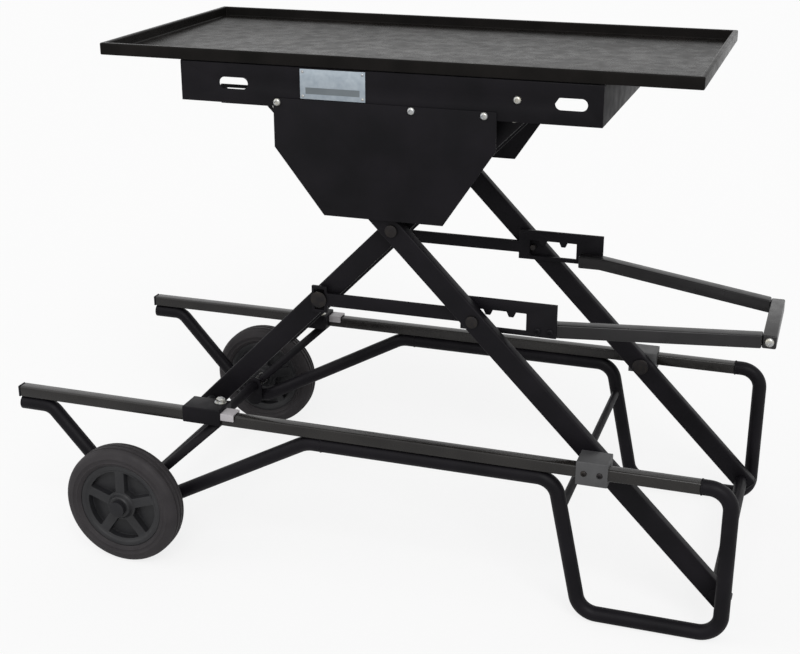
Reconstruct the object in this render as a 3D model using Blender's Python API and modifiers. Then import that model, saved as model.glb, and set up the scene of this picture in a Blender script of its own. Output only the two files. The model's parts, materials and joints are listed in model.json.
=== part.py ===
"""Wheeled scissor-lift stand with a shallow tray top, modelled as an assembly of its real pieces.

Metres, +Z up. +X points to the handle end, -X to the wheels, and left is -Y, as seen from the handle.
The stand is stored raised. The origin lies on the floor, under the middle of its overall box.
"""
import math

import bmesh
import bpy
from mathutils import Matrix, Vector

# Gap kept between pieces that touch, and between a pin and its hole
SEAT = 0.0003
# Running room of shoes, pegs and slots
RUNNING = 0.0006

# Scissor legs: rectangular tube, measured between pivot centres
LEG_LOWER = 0.487
LEG_UPPER = 0.262
LEG_TAIL = 0.284
LEG_END = 0.020
LEG_DEPTH = 0.035
LEG_WIDTH = 0.020
LEG_WALL = 0.002
LEG_END_WALL = 0.003
OUTER_LEG_Y = 0.2105
RAISED_ANGLE = math.radians(45.5)
LOWERED_ANGLE = math.radians(26.0)

# Base rails: square tube, with the fixed leg pivot near the handle end
RAIL_SIZE = 0.020
RAIL_WALL = 0.002
RAIL_Z = 0.266
RAIL_REAR_X = -0.668
RAIL_FRONT_X = 0.520
RAIL_CLEARANCE = 0.0127
RAIL_CAP = 0.003
PIVOT_X = 0.353

# Bent tubes of the base: the wheel struts and the foot loops
TUBE_DIAMETER = 0.025
STRUT_TOP_X = -0.612
STRUT_JOIN_X = -0.128
TUBE_SPLIT_X = -0.100
STRUT_BEND = 0.030
CROOK_BEND = 0.060
CROOK_GAP = 0.001
JOIN_BEND = 0.050
LOOP_REAR_TOP_X = 0.293
LOOP_REAR_FOOT_X = 0.342
LOOP_FRONT_X = 0.566
LOOP_BEND = 0.035
LOOP_BAR_DIAMETER = 0.014
LOOP_BAR_Z = 0.190
BRACE_DIAMETER = 0.016
BRACE_TOP_X = -0.302

# Wheels and their axle
WHEEL_RADIUS = 0.106
TYRE_WIDTH = 0.045
TYRE_DEPTH = 0.030
RIM_WALL = 0.007
RIM_WIDTH = 0.036
SPOKE_COUNT = 5
SPOKE_WIDTH = 0.016
SPOKE_THICKNESS = 0.016
WHEEL_WEB = 0.003
HUB_RADIUS = 0.020
HUB_LENGTH = 0.048
BUSH_WALL = 0.003
AXLE_X = -0.447
AXLE_DIAMETER = 0.016
AXLE_COLLAR_LENGTH = 0.0415
AXLE_COLLAR_STEP = 0.003
AXLE_LUG_THICKNESS = 0.005
AXLE_LUG_RADIUS = 0.018
AXLE_CAP_RADIUS = 0.014
AXLE_CAP_LENGTH = 0.008

# Fixed leg pivot on the rails
PIVOT_PIN_DIAMETER = 0.016
PIVOT_BLOCK_LENGTH = 0.050
PIVOT_BLOCK_HEIGHT = 0.040
BLOCK_WALL = 0.004
BLOCK_CHEEK = 0.022
PIVOT_COLLAR_RADIUS = 0.015
PIVOT_COLLAR_LENGTH = 0.0035

# Pins
SCISSOR_PIN_DIAMETER = 0.012
SCISSOR_SHOULDER_RADIUS = 0.012
PIN_HEAD_RADIUS = 0.010
PIN_HEAD = 0.0035
HINGE_AXLE_DIAMETER = 0.012
SLIDE_AXLE_DIAMETER = 0.012
FOOT_BAR_DIAMETER = 0.022

# Carriage that the inner legs run on along the rails
SHOE_LENGTH = 0.070
SHOE_RISE = 0.008
SHOE_FORWARD = 0.017
CARRIAGE_AXLE_DIAMETER = 0.014

# Toothed lock plates and the tapered handle that lifts them
LOCK_DISTANCE = 0.190
LOCK_THICKNESS = 0.006
LOCK_SIDE_GAP = 0.004
LOCK_ARM_HEIGHT = 0.022
LOCK_EYE_WALL = 0.005
LOCK_HEAD_REAR = 0.026
LOCK_HEAD_FRONT = 0.054
LOCK_HEAD_TOP = 0.0325
LOCK_HEAD_BOTTOM = 0.0225
LOCK_PIN_DIAMETER = 0.010
LOCK_BLOCK_SIZE = 0.016
LOCK_COLLAR_RADIUS = 0.0137
LOCK_SLOT_TOP = 0.0142
LOCK_SLOT_BOTTOM = 0.015
LOCK_TOOTH_WIDTH = 0.015
LOCK_TOOTH_COUNT = 2
HANDLE_TUBE = 0.022
HANDLE_OVERLAP = 0.040
HANDLE_REACH = 0.316
HANDLE_END_Y = 0.082
HANDLE_START_DROP = 0.0125
HANDLE_END_DROP = 0.027

# Table: bearers with the hinge and the slide slot, side angles, end plates, guards and the tray
BEARER_THICKNESS = 0.005
BEARER_GAP = 0.007
BEARER_DROP = 0.017
BEARER_END = 0.010
BEARER_TAIL = 0.062
BEARER_TAIL_WALL = 0.005
SLIDE_SHOE_LENGTH = 0.024
SLIDE_SHOE_HEIGHT = 0.016
SLIDE_SHOE_FLANGE = 0.004
SLIDE_END_ROOM = 0.002
SIDE_GAP = 0.0045
SIDE_THICKNESS = 0.002
SIDE_FLANGE = 0.027
SIDE_SLOT_LENGTH = 0.048
SIDE_SLOT_HEIGHT = 0.018
SIDE_SLOT_Z = 0.031
SIDE_SLOT_REAR_INSET = 0.090
SIDE_SLOT_FRONT_INSET = 0.047
SUBFRAME_LENGTH = 0.670
SUBFRAME_HEIGHT = 0.063
SUBFRAME_DROP = 0.001
END_THICKNESS = 0.002
GUARD_THICKNESS = 0.002
GUARD_TOP_HALF = 0.178
GUARD_FOOT_HALF = 0.097
GUARD_LAP = 0.013
GUARD_REAR_STRAIGHT = 0.064
GUARD_FRONT_STRAIGHT = 0.046
GUARD_DROP = 0.168
TRAY_LENGTH = 0.950
TRAY_DEPTH = 0.460
TRAY_HEIGHT = 0.019
TRAY_FLOOR = 0.003
TRAY_LIP = 0.012
TRAY_OFFSET = 0.195
PLATE_LENGTH = 0.106
PLATE_HEIGHT = 0.046
PLATE_THICKNESS = 0.001
PLATE_X = -0.080

# Places that follow from the sizes above
SIDES = (("left", -1), ("right", 1))
TUBE_RADIUS = TUBE_DIAMETER / 2
LOCK_Y = OUTER_LEG_Y - LEG_WIDTH / 2 - LOCK_SIDE_GAP - LOCK_THICKNESS / 2
INNER_LEG_Y = LOCK_Y - LOCK_THICKNESS / 2 - LOCK_SIDE_GAP - LEG_WIDTH / 2
BEARER_Y = INNER_LEG_Y - LEG_WIDTH / 2 - BEARER_GAP - BEARER_THICKNESS / 2
OUTER_FACE_Y = OUTER_LEG_Y + LEG_WIDTH / 2
SIDE_Y = OUTER_FACE_Y + SIDE_GAP + SIDE_THICKNESS / 2
GUARD_Y = SIDE_Y + SIDE_THICKNESS / 2 + SEAT + GUARD_THICKNESS / 2
RAIL_Y = GUARD_Y + GUARD_THICKNESS / 2 + RAIL_CLEARANCE + RAIL_SIZE / 2
TUBE_Z = RAIL_Z - RAIL_SIZE / 2 - SEAT - TUBE_RADIUS
LUG_Y = RAIL_Y - TUBE_RADIUS - SEAT - AXLE_LUG_THICKNESS / 2
AXLE_COLLAR_Y = LUG_Y + AXLE_LUG_THICKNESS / 2 + SEAT + AXLE_COLLAR_LENGTH / 2
WHEEL_Y = AXLE_COLLAR_Y + AXLE_COLLAR_LENGTH / 2 + SEAT + HUB_LENGTH / 2
AXLE_CAP_Y = WHEEL_Y + HUB_LENGTH / 2 + SEAT + AXLE_CAP_LENGTH / 2
CROSS_X = PIVOT_X - LEG_LOWER * math.cos(RAISED_ANGLE)
CROSS_Z = RAIL_Z + LEG_LOWER * math.sin(RAISED_ANGLE)
CARRIAGE_X = CROSS_X - LEG_LOWER * math.cos(RAISED_ANGLE)
HINGE_X = CROSS_X + LEG_UPPER * math.cos(RAISED_ANGLE)
HINGE_Z = CROSS_Z + LEG_UPPER * math.sin(RAISED_ANGLE)
SLIDE_X = CROSS_X - LEG_UPPER * math.cos(RAISED_ANGLE)
SLIDE_LOWERED_X = HINGE_X - 2 * LEG_UPPER * math.cos(LOWERED_ANGLE)
LOCK_Z = CROSS_Z - LOCK_DISTANCE * math.sin(RAISED_ANGLE)
LOCK_PIVOT_X = CROSS_X - LOCK_DISTANCE * math.cos(RAISED_ANGLE)
LOCK_PEG_X = CROSS_X + LOCK_DISTANCE * math.cos(RAISED_ANGLE)
LOCK_TRAVEL = 2 * LOCK_DISTANCE * (math.cos(LOWERED_ANGLE) - math.cos(RAISED_ANGLE))
LOCK_HEAD_FRONT_X = LOCK_PEG_X + LOCK_TRAVEL + LOCK_HEAD_FRONT
HANDLE_START_X = LOCK_HEAD_FRONT_X - HANDLE_OVERLAP
HANDLE_END_X = LOCK_HEAD_FRONT_X + HANDLE_REACH
HANDLE_START_Y = LOCK_Y - LOCK_THICKNESS / 2 - SEAT - HANDLE_TUBE / 2
TRAY_X = HINGE_X - TRAY_OFFSET
SUBFRAME_Z = HINGE_Z - SUBFRAME_DROP
TRAY_Z = SUBFRAME_Z + SUBFRAME_HEIGHT + SEAT
SUBFRAME_FRONT_X = TRAY_X + SUBFRAME_LENGTH / 2
BEARER_REAR_X = SLIDE_LOWERED_X - SLIDE_SHOE_LENGTH / 2 - SLIDE_END_ROOM - BEARER_END
CENTRE_X = (RAIL_REAR_X - SEAT - RAIL_CAP + HANDLE_END_X + HANDLE_TUBE / 2) / 2

for old in list(bpy.data.objects):
    bpy.data.objects.remove(old, do_unlink=True)

parts = bpy.data.collections.new("scissor_lift_stand")
cutters = bpy.data.collections.new("cutters")
bpy.context.scene.collection.children.link(parts)
bpy.context.scene.collection.children.link(cutters)


def finish(name, colour, roughness, metallic):
    """Principled material of one finish."""
    material = bpy.data.materials.new(name)
    material.use_nodes = True
    shader = material.node_tree.nodes["Principled BSDF"]
    shader.inputs["Base Color"].default_value = (*colour, 1.0)
    shader.inputs["Roughness"].default_value = roughness
    shader.inputs["Metallic"].default_value = metallic
    return material


BLACK_COAT = finish("black_powder_coat", (0.012, 0.012, 0.013), 0.5, 0.0)
SATIN_COAT = finish("satin_black_rail", (0.03, 0.029, 0.028), 0.35, 0.0)
TRAY_COAT = finish("tray_grey_black", (0.05, 0.05, 0.047), 0.4, 0.0)
ZINC = finish("zinc_plated_steel", (0.45, 0.45, 0.46), 0.35, 1.0)
BLACKENED = finish("blackened_steel", (0.03, 0.03, 0.031), 0.4, 1.0)
RUBBER = finish("tyre_rubber", (0.02, 0.02, 0.021), 0.8, 0.0)
MOULDING = finish("black_moulding", (0.016, 0.016, 0.018), 0.55, 0.0)
NYLON = finish("grey_nylon", (0.25, 0.25, 0.25), 0.5, 0.0)
SILVER = finish("silver_plate", (0.55, 0.6, 0.65), 0.4, 0.6)


def body(name, x, z):
    """Empty on a moving body's joint axis, which carries that body's pieces."""
    empty = bpy.data.objects.new(name, None)
    parts.objects.link(empty)
    empty.location = (x, 0.0, z)
    if name != "stand":
        empty.parent = stand
    return empty


stand = body("stand", -CENTRE_X, 0.0)
base = body("base_body", 0.0, 0.0)
wheels = {side: body("wheel_body_" + side, AXLE_X, WHEEL_RADIUS) for side, _ in SIDES}
outer_legs = body("outer_legs_body", PIVOT_X, RAIL_Z)
inner_legs = body("inner_legs_body", CROSS_X, CROSS_Z)
carriage = body("carriage_body", CARRIAGE_X, RAIL_Z)
slides = body("slides_body", SLIDE_X, HINGE_Z)
table = body("table_body", HINGE_X, HINGE_Z)
lock_blocks = body("lock_blocks_body", LOCK_PIVOT_X, LOCK_Z)
lock = body("lock_body", LOCK_PIVOT_X, LOCK_Z)


def piece(name, mesh, owner, place, material, turn=0.0, smooth=False):
    """Named node at a place given in the stand's own coordinates, turned about Y."""
    data = bpy.data.meshes.new(name)
    mesh.to_mesh(data)
    mesh.free()
    if smooth:
        data.shade_smooth()
        data.set_sharp_from_angle(angle=math.radians(40))
    data.materials.append(material)
    node = bpy.data.objects.new(name, data)
    parts.objects.link(node)
    node.parent = owner
    node.location = Vector(place) - owner.location
    node.rotation_euler = (0.0, turn, 0.0)
    return node


def evaluated(source):
    """Welded mesh of a curve or of an object with modifiers, which is then removed."""
    bpy.context.view_layer.update()
    graph = bpy.context.evaluated_depsgraph_get()
    data = bpy.data.meshes.new_from_object(source.evaluated_get(graph))
    mesh = bmesh.new()
    mesh.from_mesh(data)
    bmesh.ops.remove_doubles(mesh, verts=mesh.verts, dist=0.00001)
    bmesh.ops.recalc_face_normals(mesh, faces=mesh.faces)
    bpy.data.objects.remove(source, do_unlink=True)
    bpy.data.meshes.remove(data)
    return mesh


def merged(*meshes):
    """One mesh holding several separate shapes."""
    whole = bmesh.new()
    for mesh in meshes:
        data = bpy.data.meshes.new("shape")
        mesh.to_mesh(data)
        mesh.free()
        whole.from_mesh(data)
        bpy.data.meshes.remove(data)
    return whole


def moved(mesh, x=0.0, y=0.0, z=0.0):
    """The same mesh, shifted."""
    bmesh.ops.translate(mesh, verts=mesh.verts, vec=(x, y, z))
    return mesh


def box(x, y, z):
    """Block with its middle at the origin."""
    mesh = bmesh.new()
    bmesh.ops.create_cube(mesh, size=1.0)
    bmesh.ops.scale(mesh, vec=(x, y, z), verts=mesh.verts)
    return mesh


def circle(radius, x=0.0, z=0.0, count=16):
    """Points of a circle."""
    step = 2 * math.pi / count
    return [(x + radius * math.cos(i * step), z + radius * math.sin(i * step)) for i in range(count)]


def arc(x, z, radius, start, end, count=8):
    """Points of an arc, from one angle to another."""
    step = (end - start) / count
    return [(x + radius * math.cos(start + i * step), z + radius * math.sin(start + i * step))
            for i in range(count + 1)]


def rectangle(x0, z0, x1, z1):
    """Corners of a rectangle."""
    return [(x0, z0), (x1, z0), (x1, z1), (x0, z1)]


def profile(outlines, length, axis="Y"):
    """Outline with holes, drawn across an axis and drawn out along it, half to each side."""
    curve = bpy.data.curves.new("outline", "CURVE")
    curve.dimensions = "2D"
    curve.fill_mode = "BOTH"
    curve.extrude = length / 2
    for outline in outlines:
        spline = curve.splines.new("POLY")
        spline.points.add(len(outline) - 1)
        for point, (u, v) in zip(spline.points, outline):
            point.co = (u, v, 0.0, 1.0)
        spline.use_cyclic_u = True
    source = bpy.data.objects.new("outline", curve)
    cutters.objects.link(source)
    mesh = evaluated(source)
    turn = Matrix.Rotation(math.pi / 2, 3, "X")
    if axis == "X":
        turn = Matrix(((0, 0, 1), (1, 0, 0), (0, 1, 0)))
    bmesh.ops.transform(mesh, matrix=turn.to_4x4(), verts=mesh.verts)
    return mesh


def rod(radius, length, count=16):
    """Round bar along Y."""
    mesh = bmesh.new()
    bmesh.ops.create_cone(mesh, cap_ends=True, segments=count, radius1=radius, radius2=radius, depth=length)
    bmesh.ops.rotate(mesh, verts=mesh.verts, matrix=Matrix.Rotation(math.pi / 2, 3, "X"))
    return mesh


def ring(radius, bore, length, count=16):
    """Round sleeve along Y."""
    return profile([circle(radius, count=count), circle(bore, count=count)], length)


def turned(outline, count=16):
    """Solid of revolution about Y. The outline's (radius, y) points run from high y to low."""
    data = bpy.data.meshes.new("turned")
    edges = [(i, i + 1) for i in range(len(outline) - 1)]
    data.from_pydata([(radius, 0.0, y) for radius, y in outline], edges, [])
    source = bpy.data.objects.new("turned", data)
    cutters.objects.link(source)
    screw = source.modifiers.new("turn", "SCREW")
    screw.axis = "Z"
    screw.steps = count
    screw.render_steps = count
    screw.use_merge_vertices = True
    screw.merge_threshold = 0.00001
    mesh = evaluated(source)
    bmesh.ops.rotate(mesh, verts=mesh.verts, matrix=Matrix.Rotation(-math.pi / 2, 3, "X"))
    return mesh


def mirrored(outline):
    """A turned outline's upper half, followed by its mirror image."""
    return outline + [(radius, -y) for radius, y in reversed(outline)]


def rounded(points, radii, steps=6):
    """Points of a path whose inner corners are bent to the given radii."""
    path = [Vector(points[0])]
    for before, corner, after, radius in zip(points, points[1:], points[2:], radii):
        here = Vector(corner)
        back = (Vector(before) - here).normalized()
        on = (Vector(after) - here).normalized()
        half = back.angle(on) / 2
        centre = here + (back + on).normalized() * radius / math.sin(half)
        start = here + back * radius / math.tan(half) - centre
        end = here + on * radius / math.tan(half) - centre
        path += [centre + radius * start.slerp(end, i / steps) for i in range(steps + 1)]
    path.append(Vector(points[-1]))
    return path


def bent_tube(points, radii, diameter):
    """Round tube along a bent path in the XZ plane."""
    path = rounded([(x, 0.0, z) for x, z in points], radii)
    curve = bpy.data.curves.new("tube", "CURVE")
    curve.dimensions = "3D"
    curve.bevel_depth = diameter / 2
    curve.bevel_resolution = 3
    curve.use_fill_caps = True
    spline = curve.splines.new("POLY")
    spline.points.add(len(path) - 1)
    for point, place in zip(spline.points, path):
        point.co = (*place, 1.0)
    source = bpy.data.objects.new("tube", curve)
    cutters.objects.link(source)
    return evaluated(source)


def square_bar(path, size):
    """Square bar along a path, with its faces upright and level."""
    curve = bpy.data.curves.new("bar", "CURVE")
    curve.dimensions = "3D"
    curve.bevel_depth = size / math.sqrt(2)
    curve.bevel_resolution = 0
    curve.use_fill_caps = True
    curve.twist_mode = "Z_UP"
    spline = curve.splines.new("POLY")
    spline.points.add(len(path) - 1)
    for point, place in zip(spline.points, path):
        point.co = (*place, 1.0)
        point.tilt = math.pi / 4
    source = bpy.data.objects.new("bar", curve)
    cutters.objects.link(source)
    return evaluated(source)


def cut(node, mesh, operation="DIFFERENCE"):
    """Boolean on a node with a shape given in the node's own coordinates."""
    data = bpy.data.meshes.new(node.name + "_cutter")
    mesh.to_mesh(data)
    mesh.free()
    cutter = bpy.data.objects.new(data.name, data)
    cutters.objects.link(cutter)
    cutter.parent = node
    cutter.hide_render = True
    cutter.display_type = "WIRE"
    boolean = node.modifiers.new("cut", "BOOLEAN")
    boolean.operation = operation
    boolean.object = cutter


def pins(name, outline, owner, place):
    """A turned pin on the right and its mirror image on the left."""
    for side, sign in SIDES:
        shape = outline if sign > 0 else [(radius, -y) for radius, y in reversed(outline)]
        piece(name + "_" + side, turned(shape), owner, place, BLACKENED, smooth=True)


# Base: two side frames, each a square rail over bent round tubes
RAIL_LENGTH = RAIL_FRONT_X - RAIL_REAR_X
RAIL_MIDDLE_X = (RAIL_FRONT_X + RAIL_REAR_X) / 2
half = RAIL_SIZE / 2
inner = half - RAIL_WALL
crook_reach = TUBE_RADIUS + AXLE_DIAMETER / 2 + AXLE_COLLAR_STEP + CROOK_GAP
axle = Vector((AXLE_X, WHEEL_RADIUS))
crook = axle
for _ in range(12):
    up_rear = (Vector((STRUT_TOP_X, TUBE_Z)) - crook).normalized()
    up_front = (Vector((STRUT_JOIN_X, TUBE_Z)) - crook).normalized()
    crook_sag = CROOK_BEND * (1 / math.sin(up_rear.angle(up_front) / 2) - 1)
    crook = axle - (up_rear + up_front).normalized() * (crook_reach + crook_sag)
strut_points = [(RAIL_REAR_X, TUBE_Z), (STRUT_TOP_X, TUBE_Z), tuple(crook),
                (STRUT_JOIN_X, TUBE_Z), (TUBE_SPLIT_X, TUBE_Z)]
loop_points = [(TUBE_SPLIT_X + SEAT, TUBE_Z), (LOOP_REAR_TOP_X, TUBE_Z), (LOOP_REAR_FOOT_X, TUBE_RADIUS),
               (LOOP_FRONT_X, TUBE_RADIUS), (LOOP_FRONT_X, RAIL_Z), (RAIL_FRONT_X + SEAT, RAIL_Z)]
brace_way = (Vector((BRACE_TOP_X, TUBE_Z)) - axle).normalized()
brace_start = axle + brace_way * (AXLE_DIAMETER / 2 + AXLE_COLLAR_STEP + SEAT + BRACE_DIAMETER / 4)
brace_end = Vector((BRACE_TOP_X, TUBE_Z)) + brace_way * TUBE_DIAMETER * 2

for side, sign in SIDES:
    tube = profile([rectangle(-half, -half, half, half), rectangle(-inner, -inner, inner, inner)],
                   RAIL_LENGTH, axis="X")
    piece("rail_" + side, tube, base, (RAIL_MIDDLE_X, sign * RAIL_Y, RAIL_Z), SATIN_COAT)
    plug = moved(box(RAIL_CAP * 4, 2 * (inner - SEAT), 2 * (inner - SEAT)), x=RAIL_CAP * 1.5 - SEAT)
    cap = piece("rail_cap_" + side, plug, base, (RAIL_REAR_X, sign * RAIL_Y, RAIL_Z), MOULDING)
    cut(cap, moved(box(RAIL_CAP, RAIL_SIZE, RAIL_SIZE), x=-RAIL_CAP / 2 - SEAT), "UNION")
    strut = bent_tube(strut_points, (STRUT_BEND, CROOK_BEND, JOIN_BEND), TUBE_DIAMETER)
    piece("wheel_strut_" + side, strut, base, (0.0, sign * RAIL_Y, 0.0), BLACK_COAT, smooth=True)
    loop = bent_tube(loop_points, (LOOP_BEND,) * 4, TUBE_DIAMETER)
    piece("foot_loop_" + side, loop, base, (0.0, sign * RAIL_Y, 0.0), BLACK_COAT, smooth=True)
    brace_tube = bent_tube([tuple(brace_start), tuple(brace_end)], (), BRACE_DIAMETER)
    brace = piece("axle_brace_" + side, brace_tube, base, (0.0, sign * RAIL_Y, 0.0), BLACK_COAT, smooth=True)
    trim = box(TUBE_DIAMETER * 8, TUBE_DIAMETER * 2, TUBE_DIAMETER * 8)
    cut(brace, moved(trim, x=brace_end.x, z=RAIL_Z - half - SEAT + TUBE_DIAMETER * 4))
    lug_outline = arc(0.0, 0.0, AXLE_LUG_RADIUS, 0.0, math.pi)
    lug_outline += arc(0.0, -crook_reach, AXLE_LUG_RADIUS, math.pi, 2 * math.pi)
    lug = profile([lug_outline, circle(AXLE_DIAMETER / 2 + SEAT)], AXLE_LUG_THICKNESS)
    piece("axle_lug_" + side, lug, base, (AXLE_X, sign * LUG_Y, WHEEL_RADIUS), BLACK_COAT, smooth=True)
    block_inner = OUTER_FACE_Y + 2 * SEAT
    block_outer = RAIL_Y + half + BLOCK_WALL
    block_y = (block_inner + block_outer) / 2
    block_solid = box(PIVOT_BLOCK_LENGTH, block_outer - block_inner, PIVOT_BLOCK_HEIGHT)
    block = piece("pivot_block_" + side, block_solid, base, (PIVOT_X, sign * block_y, RAIL_Z), BLACK_COAT)
    passage = box(PIVOT_BLOCK_LENGTH * 2, RAIL_SIZE + 2 * SEAT, RAIL_SIZE + 2 * SEAT)
    cut(block, moved(passage, y=sign * (RAIL_Y - block_y)))
    seat_depth = RAIL_Y - half - BLOCK_WALL - block_inner
    seat_bore = rod(PIVOT_PIN_DIAMETER / 2 + SEAT, 2 * seat_depth)
    cut(block, moved(seat_bore, y=sign * (block_inner - block_y)))

axle_half = AXLE_CAP_Y + AXLE_CAP_LENGTH / 4 - SEAT
axle_radius = AXLE_DIAMETER / 2
collar_radius = axle_radius + AXLE_COLLAR_STEP
collar_ends = (AXLE_COLLAR_Y + AXLE_COLLAR_LENGTH / 2, AXLE_COLLAR_Y - AXLE_COLLAR_LENGTH / 2)
axle_outline = [(0.0, axle_half), (axle_radius, axle_half), (axle_radius, collar_ends[0]),
                (collar_radius, collar_ends[0]), (collar_radius, collar_ends[1]), (axle_radius, collar_ends[1])]
piece("wheel_axle", turned(mirrored(axle_outline)), base, (AXLE_X, 0.0, WHEEL_RADIUS), ZINC, smooth=True)
for side, sign in SIDES:
    cap = piece("axle_cap_" + side, rod(AXLE_CAP_RADIUS, AXLE_CAP_LENGTH), base,
                (AXLE_X, sign * AXLE_CAP_Y, WHEEL_RADIUS), MOULDING, smooth=True)
    cut(cap, moved(rod(AXLE_DIAMETER / 2 + SEAT, AXLE_CAP_LENGTH), y=-sign * AXLE_CAP_LENGTH / 4))

pivot_half = RAIL_Y - half - BLOCK_WALL - SEAT
pivot_collar = OUTER_FACE_Y - LEG_WIDTH - SEAT
pivot_collar_end = pivot_collar - PIVOT_COLLAR_LENGTH
pivot_radius = PIVOT_PIN_DIAMETER / 2
pivot_outline = [(0.0, pivot_half), (pivot_radius, pivot_half), (pivot_radius, pivot_collar),
                 (PIVOT_COLLAR_RADIUS, pivot_collar), (PIVOT_COLLAR_RADIUS, pivot_collar_end),
                 (0.0, pivot_collar_end)]
pins("pivot_pin", pivot_outline, base, (PIVOT_X, 0.0, RAIL_Z))

# Cross bar between the rear legs of the two foot loops
loop_bar_share = (TUBE_Z - LOOP_BAR_Z) / (TUBE_Z - TUBE_RADIUS)
loop_bar_x = LOOP_REAR_TOP_X + loop_bar_share * (LOOP_REAR_FOOT_X - LOOP_REAR_TOP_X)
loop_bar = rod(LOOP_BAR_DIAMETER / 2, 2 * (RAIL_Y - TUBE_RADIUS - SEAT))
piece("loop_bar", loop_bar, base, (loop_bar_x, 0.0, LOOP_BAR_Z), BLACK_COAT, smooth=True)

# Wheels: rubber tyre on a moulded rim with spokes and a thin web, and a bush that turns on the fixed axle
rim_radius = WHEEL_RADIUS - TYRE_DEPTH
bush_bore = AXLE_DIAMETER / 2 + SEAT
bush_radius = bush_bore + BUSH_WALL
shoulder = TYRE_WIDTH / 5
spoke_length = rim_radius - HUB_RADIUS
tread_half = TYRE_WIDTH / 2
tyre_half = [(rim_radius, RIM_WIDTH / 2), (WHEEL_RADIUS - shoulder, tread_half),
             (WHEEL_RADIUS - shoulder * 0.3, tread_half - shoulder * 0.45),
             (WHEEL_RADIUS, tread_half - shoulder * 1.2)]
tyre_outline = mirrored(tyre_half) + tyre_half[:1]
for side, sign in SIDES:
    middle = (AXLE_X, sign * WHEEL_Y, WHEEL_RADIUS)
    piece("tyre_" + side, turned(tyre_outline, 40), wheels[side], middle, RUBBER, smooth=True)
    rim = piece("wheel_rim_" + side, ring(rim_radius - SEAT, rim_radius - RIM_WALL, RIM_WIDTH, 40),
                wheels[side], middle, MOULDING, smooth=True)
    spokes = []
    for i in range(SPOKE_COUNT):
        spoke = box(spoke_length, SPOKE_THICKNESS, SPOKE_WIDTH)
        moved(spoke, x=HUB_RADIUS - RIM_WALL / 2 + spoke_length / 2)
        turn = Matrix.Rotation(2 * math.pi * i / SPOKE_COUNT, 3, "Y")
        bmesh.ops.rotate(spoke, verts=spoke.verts, matrix=turn)
        spokes.append(spoke)
    cut(rim, merged(*spokes), "UNION")
    cut(rim, rod(rim_radius - RIM_WALL / 2, WHEEL_WEB), "UNION")
    cut(rim, rod(HUB_RADIUS, HUB_LENGTH), "UNION")
    cut(rim, rod(bush_radius + SEAT, HUB_LENGTH * 2))
    bush = ring(bush_radius, bush_bore, HUB_LENGTH)
    piece("wheel_bush_" + side, bush, wheels[side], middle, NYLON, smooth=True)


def leg(name, owner, y, rear, front, holes, place, turn):
    """Rectangular tube leg along its own X, with closed ends, drilled across at its pivots."""
    tube = moved(box(front - rear, LEG_WIDTH, LEG_DEPTH), x=(front + rear) / 2)
    node = piece(name, tube, owner, (place[0], y, place[1]), BLACK_COAT, turn=turn)
    hollow = box(front - rear - 2 * LEG_END_WALL, LEG_WIDTH - 2 * LEG_WALL, LEG_DEPTH - 2 * LEG_WALL)
    cut(node, moved(hollow, x=(front + rear) / 2))
    drills = [moved(rod(radius + SEAT, LEG_WIDTH * 2), x=x) for x, radius in holes]
    cut(node, merged(*drills))


# Outer legs: pivot on the rails, slide under the table, and end in a foot bar at their tails
outer_place = (PIVOT_X, RAIL_Z)
outer_turn = math.pi + RAISED_ANGLE
outer_top = LEG_LOWER + LEG_UPPER
outer_holes = [(0.0, PIVOT_PIN_DIAMETER / 2), (LEG_LOWER, SCISSOR_PIN_DIAMETER / 2),
               (outer_top, SLIDE_AXLE_DIAMETER / 2), (LEG_LOWER - LOCK_DISTANCE, LOCK_PIN_DIAMETER / 2),
               (-LEG_TAIL, FOOT_BAR_DIAMETER / 2)]
for side, sign in SIDES:
    leg("outer_leg_" + side, outer_legs, sign * OUTER_LEG_Y, -LEG_TAIL - LEG_END, outer_top + LEG_END,
        outer_holes, outer_place, outer_turn)
tail_x = PIVOT_X + LEG_TAIL * math.cos(RAISED_ANGLE)
tail_z = RAIL_Z - LEG_TAIL * math.sin(RAISED_ANGLE)
foot_bar = rod(FOOT_BAR_DIAMETER / 2, 2 * OUTER_FACE_Y)
piece("foot_bar", foot_bar, outer_legs, (tail_x, 0.0, tail_z), BLACK_COAT, smooth=True)
head_seat = OUTER_FACE_Y + SEAT
head_end = head_seat + PIN_HEAD
slide_outline = [(0.0, head_end), (PIN_HEAD_RADIUS, head_end), (PIN_HEAD_RADIUS, head_seat),
                 (SLIDE_AXLE_DIAMETER / 2, head_seat)]
piece("slide_axle", turned(mirrored(slide_outline)), outer_legs, (SLIDE_X, 0.0, HINGE_Z), ZINC, smooth=True)

inner_face_y = INNER_LEG_Y - LEG_WIDTH / 2
leg_gap = (INNER_LEG_Y + LEG_WIDTH / 2 + SEAT, OUTER_LEG_Y - LEG_WIDTH / 2 - SEAT)
pin_radius = SCISSOR_PIN_DIAMETER / 2
scissor_outline = [(0.0, head_end), (PIN_HEAD_RADIUS, head_end), (PIN_HEAD_RADIUS, head_seat),
                   (pin_radius, head_seat), (pin_radius, leg_gap[1]), (SCISSOR_SHOULDER_RADIUS, leg_gap[1]),
                   (SCISSOR_SHOULDER_RADIUS, leg_gap[0]), (pin_radius, leg_gap[0]),
                   (pin_radius, inner_face_y - SEAT), (PIN_HEAD_RADIUS, inner_face_y - SEAT),
                   (PIN_HEAD_RADIUS, inner_face_y - SEAT - PIN_HEAD), (0.0, inner_face_y - SEAT - PIN_HEAD)]
peg_radius = LOCK_PIN_DIAMETER / 2
peg_outline = [(0.0, head_end), (PIN_HEAD_RADIUS, head_end), (PIN_HEAD_RADIUS, head_seat),
               (peg_radius, head_seat),
               (peg_radius, LOCK_Y - LOCK_THICKNESS / 2 - SEAT), (0.0, LOCK_Y - LOCK_THICKNESS / 2 - SEAT)]
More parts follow.
